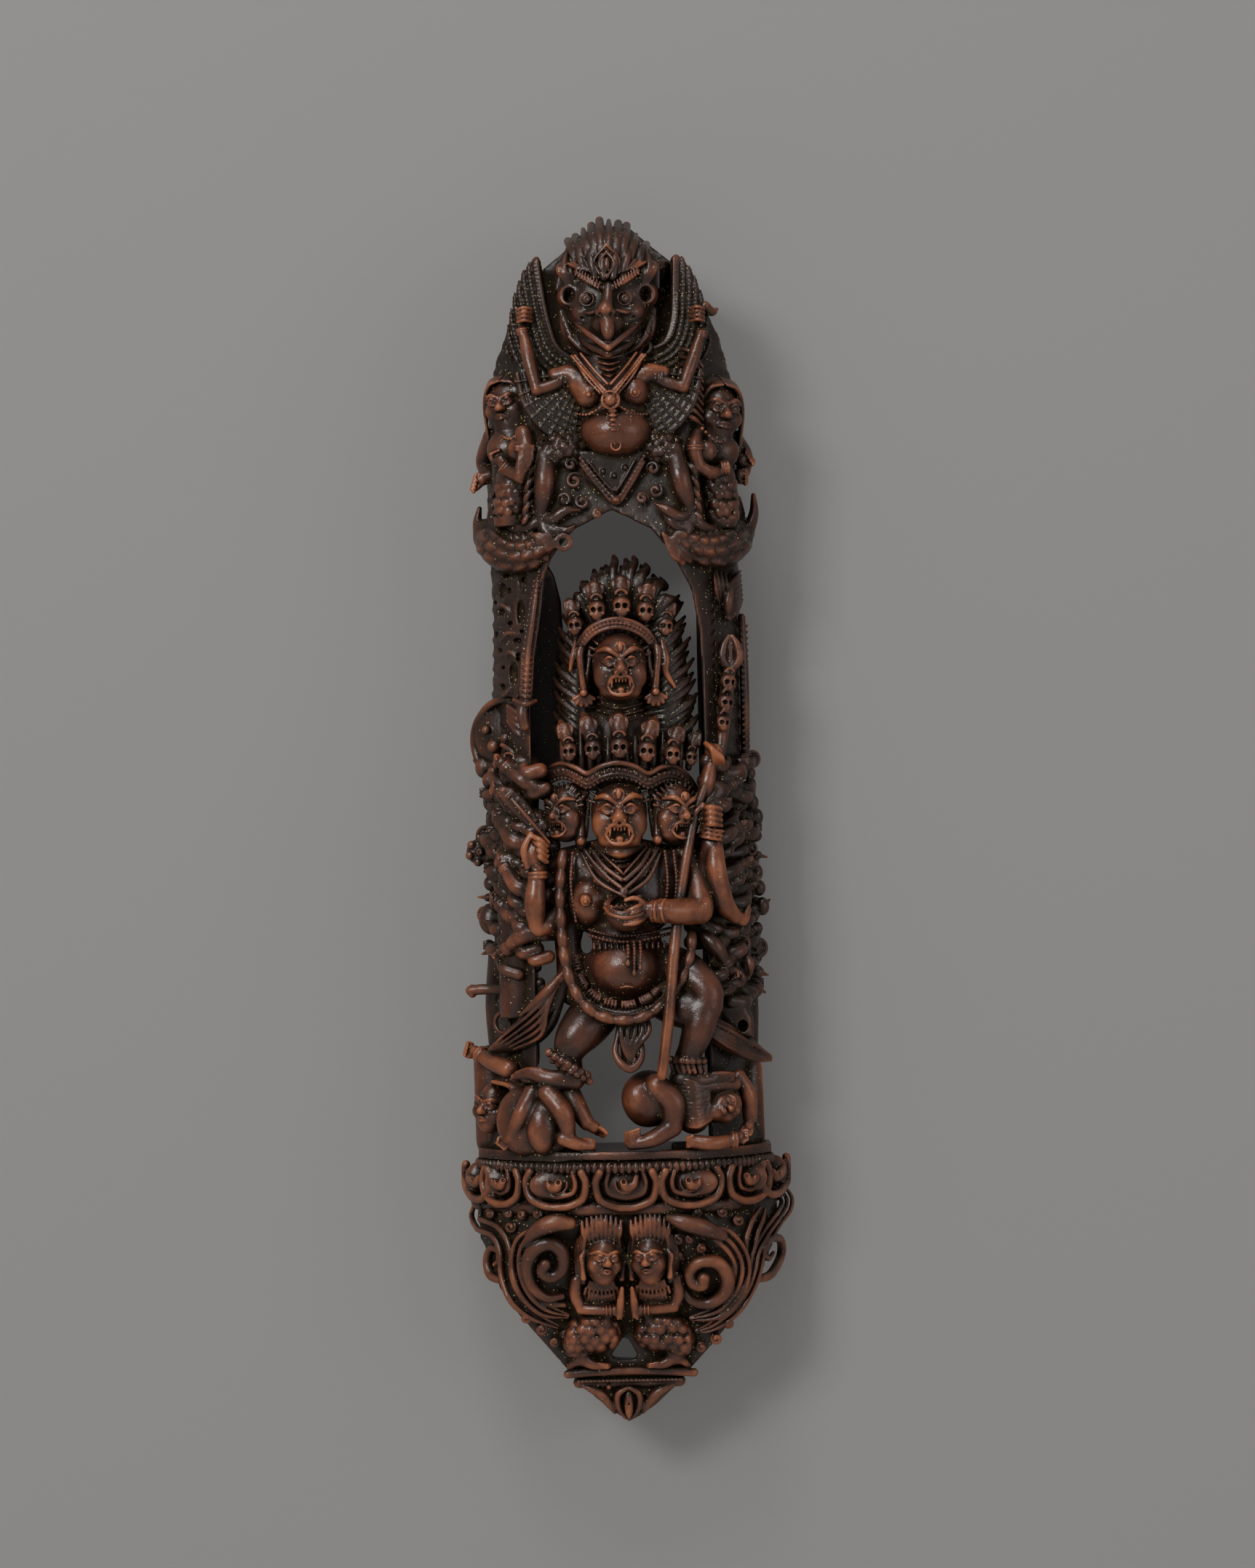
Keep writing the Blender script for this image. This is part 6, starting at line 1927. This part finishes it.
def lacquer(name, low, body, high, glow, polish, rough):
    """Dark lacquered carving: worn amber on what stands out, dirt and dust in what lies deep."""
    m = bpy.data.materials.new(name)
    m.use_nodes = True
    nodes, links = m.node_tree.nodes, m.node_tree.links
    nodes.clear()
    out = nodes.new("ShaderNodeOutputMaterial")
    lacquered = nodes.new("ShaderNodeBsdfPrincipled")
    links.new(lacquered.outputs[0], out.inputs[0])
    where = nodes.new("ShaderNodeTexCoord").outputs["Object"]

    def attribute(label):
        a = nodes.new("ShaderNodeAttribute")
        a.attribute_name = label
        return a.outputs["Fac"]

    def maths(op, a, b=None, clamp=False):
        n = nodes.new("ShaderNodeMath")
        n.operation = op
        n.use_clamp = clamp
        for i, v in enumerate((a, b)):
            if v is None:
                continue
            if isinstance(v, (int, float)):
                n.inputs[i].default_value = v
            else:
                links.new(v, n.inputs[i])
        return n.outputs[0]

    def noise(scale, detail, coarse=0.55):
        n = nodes.new("ShaderNodeTexNoise")
        n.inputs["Scale"].default_value = scale
        n.inputs["Detail"].default_value = detail
        n.inputs["Roughness"].default_value = coarse
        links.new(where, n.inputs["Vector"])
        return n.outputs["Fac"]

    def covered(fac, colour, cover):
        """The colour with a plain cover laid over it as far as fac says."""
        n = nodes.new("ShaderNodeMix")
        n.data_type = "RGBA"
        links.new(fac, n.inputs["Factor"])
        links.new(colour, n.inputs[6])
        n.inputs[7].default_value = (*cover, 1)
        return n.outputs[2]

    fine, deep, tone = attribute("cavity"), attribute("hollow"), attribute("tone")
    patch = noise(PATCH_SCALE, 5)
    grain = noise(GRAIN_SCALE, 3)
    # how far the surface stands out: 0 in the recesses, 1 on the worn tops
    worn = maths("ADD", maths("MULTIPLY", fine, -1.5), maths("MULTIPLY", deep, -1.1))
    worn = maths("ADD", worn, maths("MULTIPLY", maths("SUBTRACT", patch, 0.5), 1.5))
    worn = maths("ADD", worn, maths("MULTIPLY", maths("SUBTRACT", grain, 0.5), 0.25))
    worn = maths("ADD", worn, maths("MULTIPLY", tone, polish))
    colour = ramp(nodes, links, maths("MULTIPLY", worn, 0.56, True),
                  [(0.0, low), (0.22, tuple(0.55 * v for v in body)), (0.48, body), (0.74, high),
                   (1.0, glow)])
    # ochre dust held in the recesses
    dirt = maths("MULTIPLY", maths("ADD", fine, maths("MULTIPLY", deep, 0.7)), 2.6, True)
    clumps = maths("MULTIPLY", maths("SUBTRACT", noise(CLUMP_SCALE, 5, 0.7), 0.52), 7.0, True)
    held = maths("ADD", maths("MULTIPLY", clumps, 0.65), 0.35)
    dust = maths("MULTIPLY", maths("MULTIPLY", dirt, held), 0.75)
    film = maths("MULTIPLY", maths("MULTIPLY", clumps, maths("SUBTRACT", 1.0, worn, True)), 0.35)
    dust = maths("ADD", dust, film, True)
    colour = covered(dust, colour, DUST)
    # small golden flecks
    cells = nodes.new("ShaderNodeTexVoronoi")
    cells.inputs["Scale"].default_value = FLECK_SCALE
    links.new(where, cells.inputs["Vector"])
    fleck = maths("LESS_THAN", cells.outputs["Distance"], FLECK_SIZE)
    fleck = maths("MULTIPLY", fleck, maths("GREATER_THAN", noise(SWARM_SCALE, 2), 0.43))
    fleck = maths("MULTIPLY", fleck, maths("GREATER_THAN", maths("ADD", fine, noise(SPECK_SCALE, 0)), 0.55))
    colour = covered(maths("MULTIPLY", fleck, 0.8), colour, GOLD)
    links.new(colour, lacquered.inputs["Base Color"])
    shine = maths("ADD", maths("ADD", maths("MULTIPLY", dirt, 0.22), maths("MULTIPLY", dust, 0.5)), rough)
    shine = maths("ADD", shine, maths("MULTIPLY", maths("SUBTRACT", patch, 0.5), 0.16))
    links.new(shine, lacquered.inputs["Roughness"])
    links.new(maths("SUBTRACT", 0.42, maths("MULTIPLY", dirt, 0.3)), lacquered.inputs["Specular IOR Level"])
    bump = nodes.new("ShaderNodeBump")
    bump.inputs["Strength"].default_value = 0.28
    bump.inputs["Distance"].default_value = POCK_DEPTH
    links.new(maths("ADD", maths("MULTIPLY", grain, 0.5), noise(POCK_SCALE, 4)), bump.inputs["Height"])
    links.new(bump.outputs[0], lacquered.inputs["Normal"])
    return m


MATERIALS = {
    "shell": lacquer("shell_lacquer", (0.009, 0.006, 0.004), (0.026, 0.012, 0.008), (0.07, 0.025, 0.014),
                     (0.16, 0.056, 0.026), 0.75, 0.42),
    "figures": lacquer("figure_lacquer", (0.011, 0.0075, 0.005), (0.033, 0.0135, 0.009),
                       (0.094, 0.031, 0.0165), (0.24, 0.081, 0.036), 1.0, 0.31),
    "ornament": lacquer("ornament_lacquer", (0.011, 0.0075, 0.005), (0.03, 0.0125, 0.008),
                        (0.082, 0.028, 0.015), (0.2, 0.068, 0.03), 0.85, 0.36),
}
FIGURES = {"torso", "main_head", "side_head_left", "side_head_right", "top_head", "leg_left",
           "leg_right", "bowl_arm", "club_arm", "staff_arm", "arm_fan_left", "arm_fan_right",
           "garuda_torso", "garuda_head", "garuda_arm_left", "garuda_arm_right", "garuda_leg_left",
           "garuda_leg_right", "fallen_figure_left", "fallen_figure_right", "praying_naga_left",
           "praying_naga_right", "upper_naga_left", "upper_naga_right"}
SHELL = {"shell_hood", "shell_wall_left", "shell_wall_right", "shell_base", "back_rim", "base_floor"}


def slot_of(node):
    """The look that a CAD node wears."""
    return "figures" if node in FIGURES else "shell" if node in SHELL else "ornament"


THREADS = 4
with ThreadPoolExecutor(THREADS) as pool:
    blocks = list(pool.map(sculpt_one, PIECES))
mass = np.full(GRID_N, FAR, np.float32)
for block in blocks:
    add_to_mass(mass, block)
solid = np.clip(0.5 - mass / GRID, 0, 1)
recesses = [(label, blur(solid, cells), reach, level)
            for label, (cells, reach, level) in (("cavity", CAVITY), ("hollow", HOLLOW))]
carved = []
for entry, block in zip(PIECES, blocks):
    name, look = entry.names[0] + "_carving", slot_of(entry.names[0])
    points, triangles, quads = block.mesh()
    mesh = make_mesh(name, points, triangles, quads)
    normal = normals_of(mesh)
    values = {}
    for label, blurred, reach, level in recesses:
        values[label] = 2 * sample(blurred, points + reach * normal) - level
    values["tone"] = np.full(len(points), entry.tone)
    for label, value in values.items():
        mesh.attributes.new(label, "FLOAT", "POINT").data.foreach_set("value", value.astype(np.float32))
    mesh.materials.append(MATERIALS[look])
    obj = add_object(name, mesh)
    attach(obj, "root")
    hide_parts(*entry.names)
    carved.append(obj)

# what no piece replaces is shown as it comes from the CAD
replaced = {n for entry in PIECES for n in entry.names}
for name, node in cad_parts.items():
    if name not in replaced:
        node.data.materials.clear()
        node.data.materials.append(MATERIALS[slot_of(name)])
        carved.append(node)

# ---- stage, lights and camera -------------------------------------------------------------------
FLOOR_HALF = 3
FLOOR_Z = -0.3
FLOOR_COLOUR = (0.62, 0.61, 0.59)
WALL_COLOUR = (0.16, 0.157, 0.152)
WALL_HALF = 0.7
WALL_TOP = 0.6
WALL_Y = 0.0006  # just behind the flat back of the carving
WALL_GLOW = 0.055  # evens out the grey of the wall
SENSOR = 24
DISTANCE = 0.9  # from the camera to the plane that it is framed on
VIEW_HEIGHT = 0.2863  # height of what the picture shows in that plane
AIM = (0.00193, -0.02, 0.00687)
CAMERA_ROLL = 1.1  # degrees


def plain(name, colour, rough):
    """A material of one colour."""
    m = bpy.data.materials.new(name)
    m.use_nodes = True
    b = m.node_tree.nodes["Principled BSDF"]
    b.inputs["Base Color"].default_value = (*colour, 1)
    b.inputs["Roughness"].default_value = rough
    return m


def quad(name, corners, material):
    """A flat sheet that belongs to the stage."""
    mesh = bpy.data.meshes.new(name)
    mesh.from_pydata(corners, [], [(0, 1, 2, 3)])
    mesh.materials.append(material)
    obj = add_object(name, mesh)
    return obj


quad("floor", [(x * FLOOR_HALF, y * FLOOR_HALF, FLOOR_Z) for x, y in ((-1, -1), (1, -1), (1, 1), (-1, 1))],
     plain("floor_pale", FLOOR_COLOUR, 0.7))
wall_look = plain("wall_grey", WALL_COLOUR, 0.8)
wall = quad("wall", [(-WALL_HALF, WALL_Y, FLOOR_Z), (WALL_HALF, WALL_Y, FLOOR_Z),
                     (WALL_HALF, WALL_Y, WALL_TOP), (-WALL_HALF, WALL_Y, WALL_TOP)], wall_look)
tree = wall_look.node_tree
grey = tree.nodes["Principled BSDF"]
grey.inputs["Emission Color"].default_value = (1.0, 0.985, 0.96, 1)
grey.inputs["Emission Strength"].default_value = WALL_GLOW
# the wall is seen from the front only, so that views from behind see the carving
glass = tree.nodes.new("ShaderNodeBsdfTransparent")
side = tree.nodes.new("ShaderNodeNewGeometry")
blend = tree.nodes.new("ShaderNodeMixShader")
tree.links.new(side.outputs["Backfacing"], blend.inputs[0])
tree.links.new(grey.outputs[0], blend.inputs[1])
tree.links.new(glass.outputs[0], blend.inputs[2])
tree.links.new(blend.outputs[0], tree.nodes["Material Output"].inputs[0])
wall.visible_shadow = False


def area_light(name, origin, target, size, power, colour=(1, 1, 1)):
    """A rectangular light at origin that points at target."""
    data = bpy.data.lights.new(name, "AREA")
    data.shape = "RECTANGLE"
    data.size, data.size_y = size
    data.energy = power
    data.color = colour
    obj = add_object(name, data)
    obj.location = origin
    obj.rotation_euler = (Vector(target) - Vector(origin)).to_track_quat("-Z", "Y").to_euler()


area_light("key", (-0.5, -0.95, 0.45), (0, 0, 0.02), (0.3, 0.3), 8.0, (1.0, 0.98, 0.96))
area_light("fill", (0.8, -0.8, 0.15), (0, 0, 0), (0.6, 0.6), 2.0, (0.96, 0.98, 1.0))
area_light("top", (-0.1, -0.5, 0.8), (0, 0, 0), (0.25, 0.25), 3.0)
area_light("back", (0.1, 0.9, 0.5), (0, 0, 0), (0.8, 0.8), 3.0)
world = bpy.data.worlds.new("studio")
bpy.context.scene.world = world
world.use_nodes = True
sky = world.node_tree.nodes["Background"]
sky.inputs["Color"].default_value = (1.0, 0.97, 0.93, 1)
sky.inputs["Strength"].default_value = 0.35

camera_data = bpy.data.cameras.new("camera")
camera_data.sensor_fit = "VERTICAL"
camera_data.sensor_height = SENSOR
camera_data.lens = SENSOR * DISTANCE / VIEW_HEIGHT
camera_data.clip_start = 0.05
camera = add_object("camera", camera_data)
camera.matrix_world = (Matrix.Translation((AIM[0], AIM[1] - DISTANCE, AIM[2]))
                       @ Matrix.Rotation(math.pi / 2, 4, "X")
                       @ Matrix.Rotation(-math.radians(CAMERA_ROLL), 4, "Z"))
bpy.context.scene.camera = camera

bpy.context.view_layer.update()
corners = [obj.matrix_world @ Vector(corner) for obj in carved for corner in obj.bound_box]
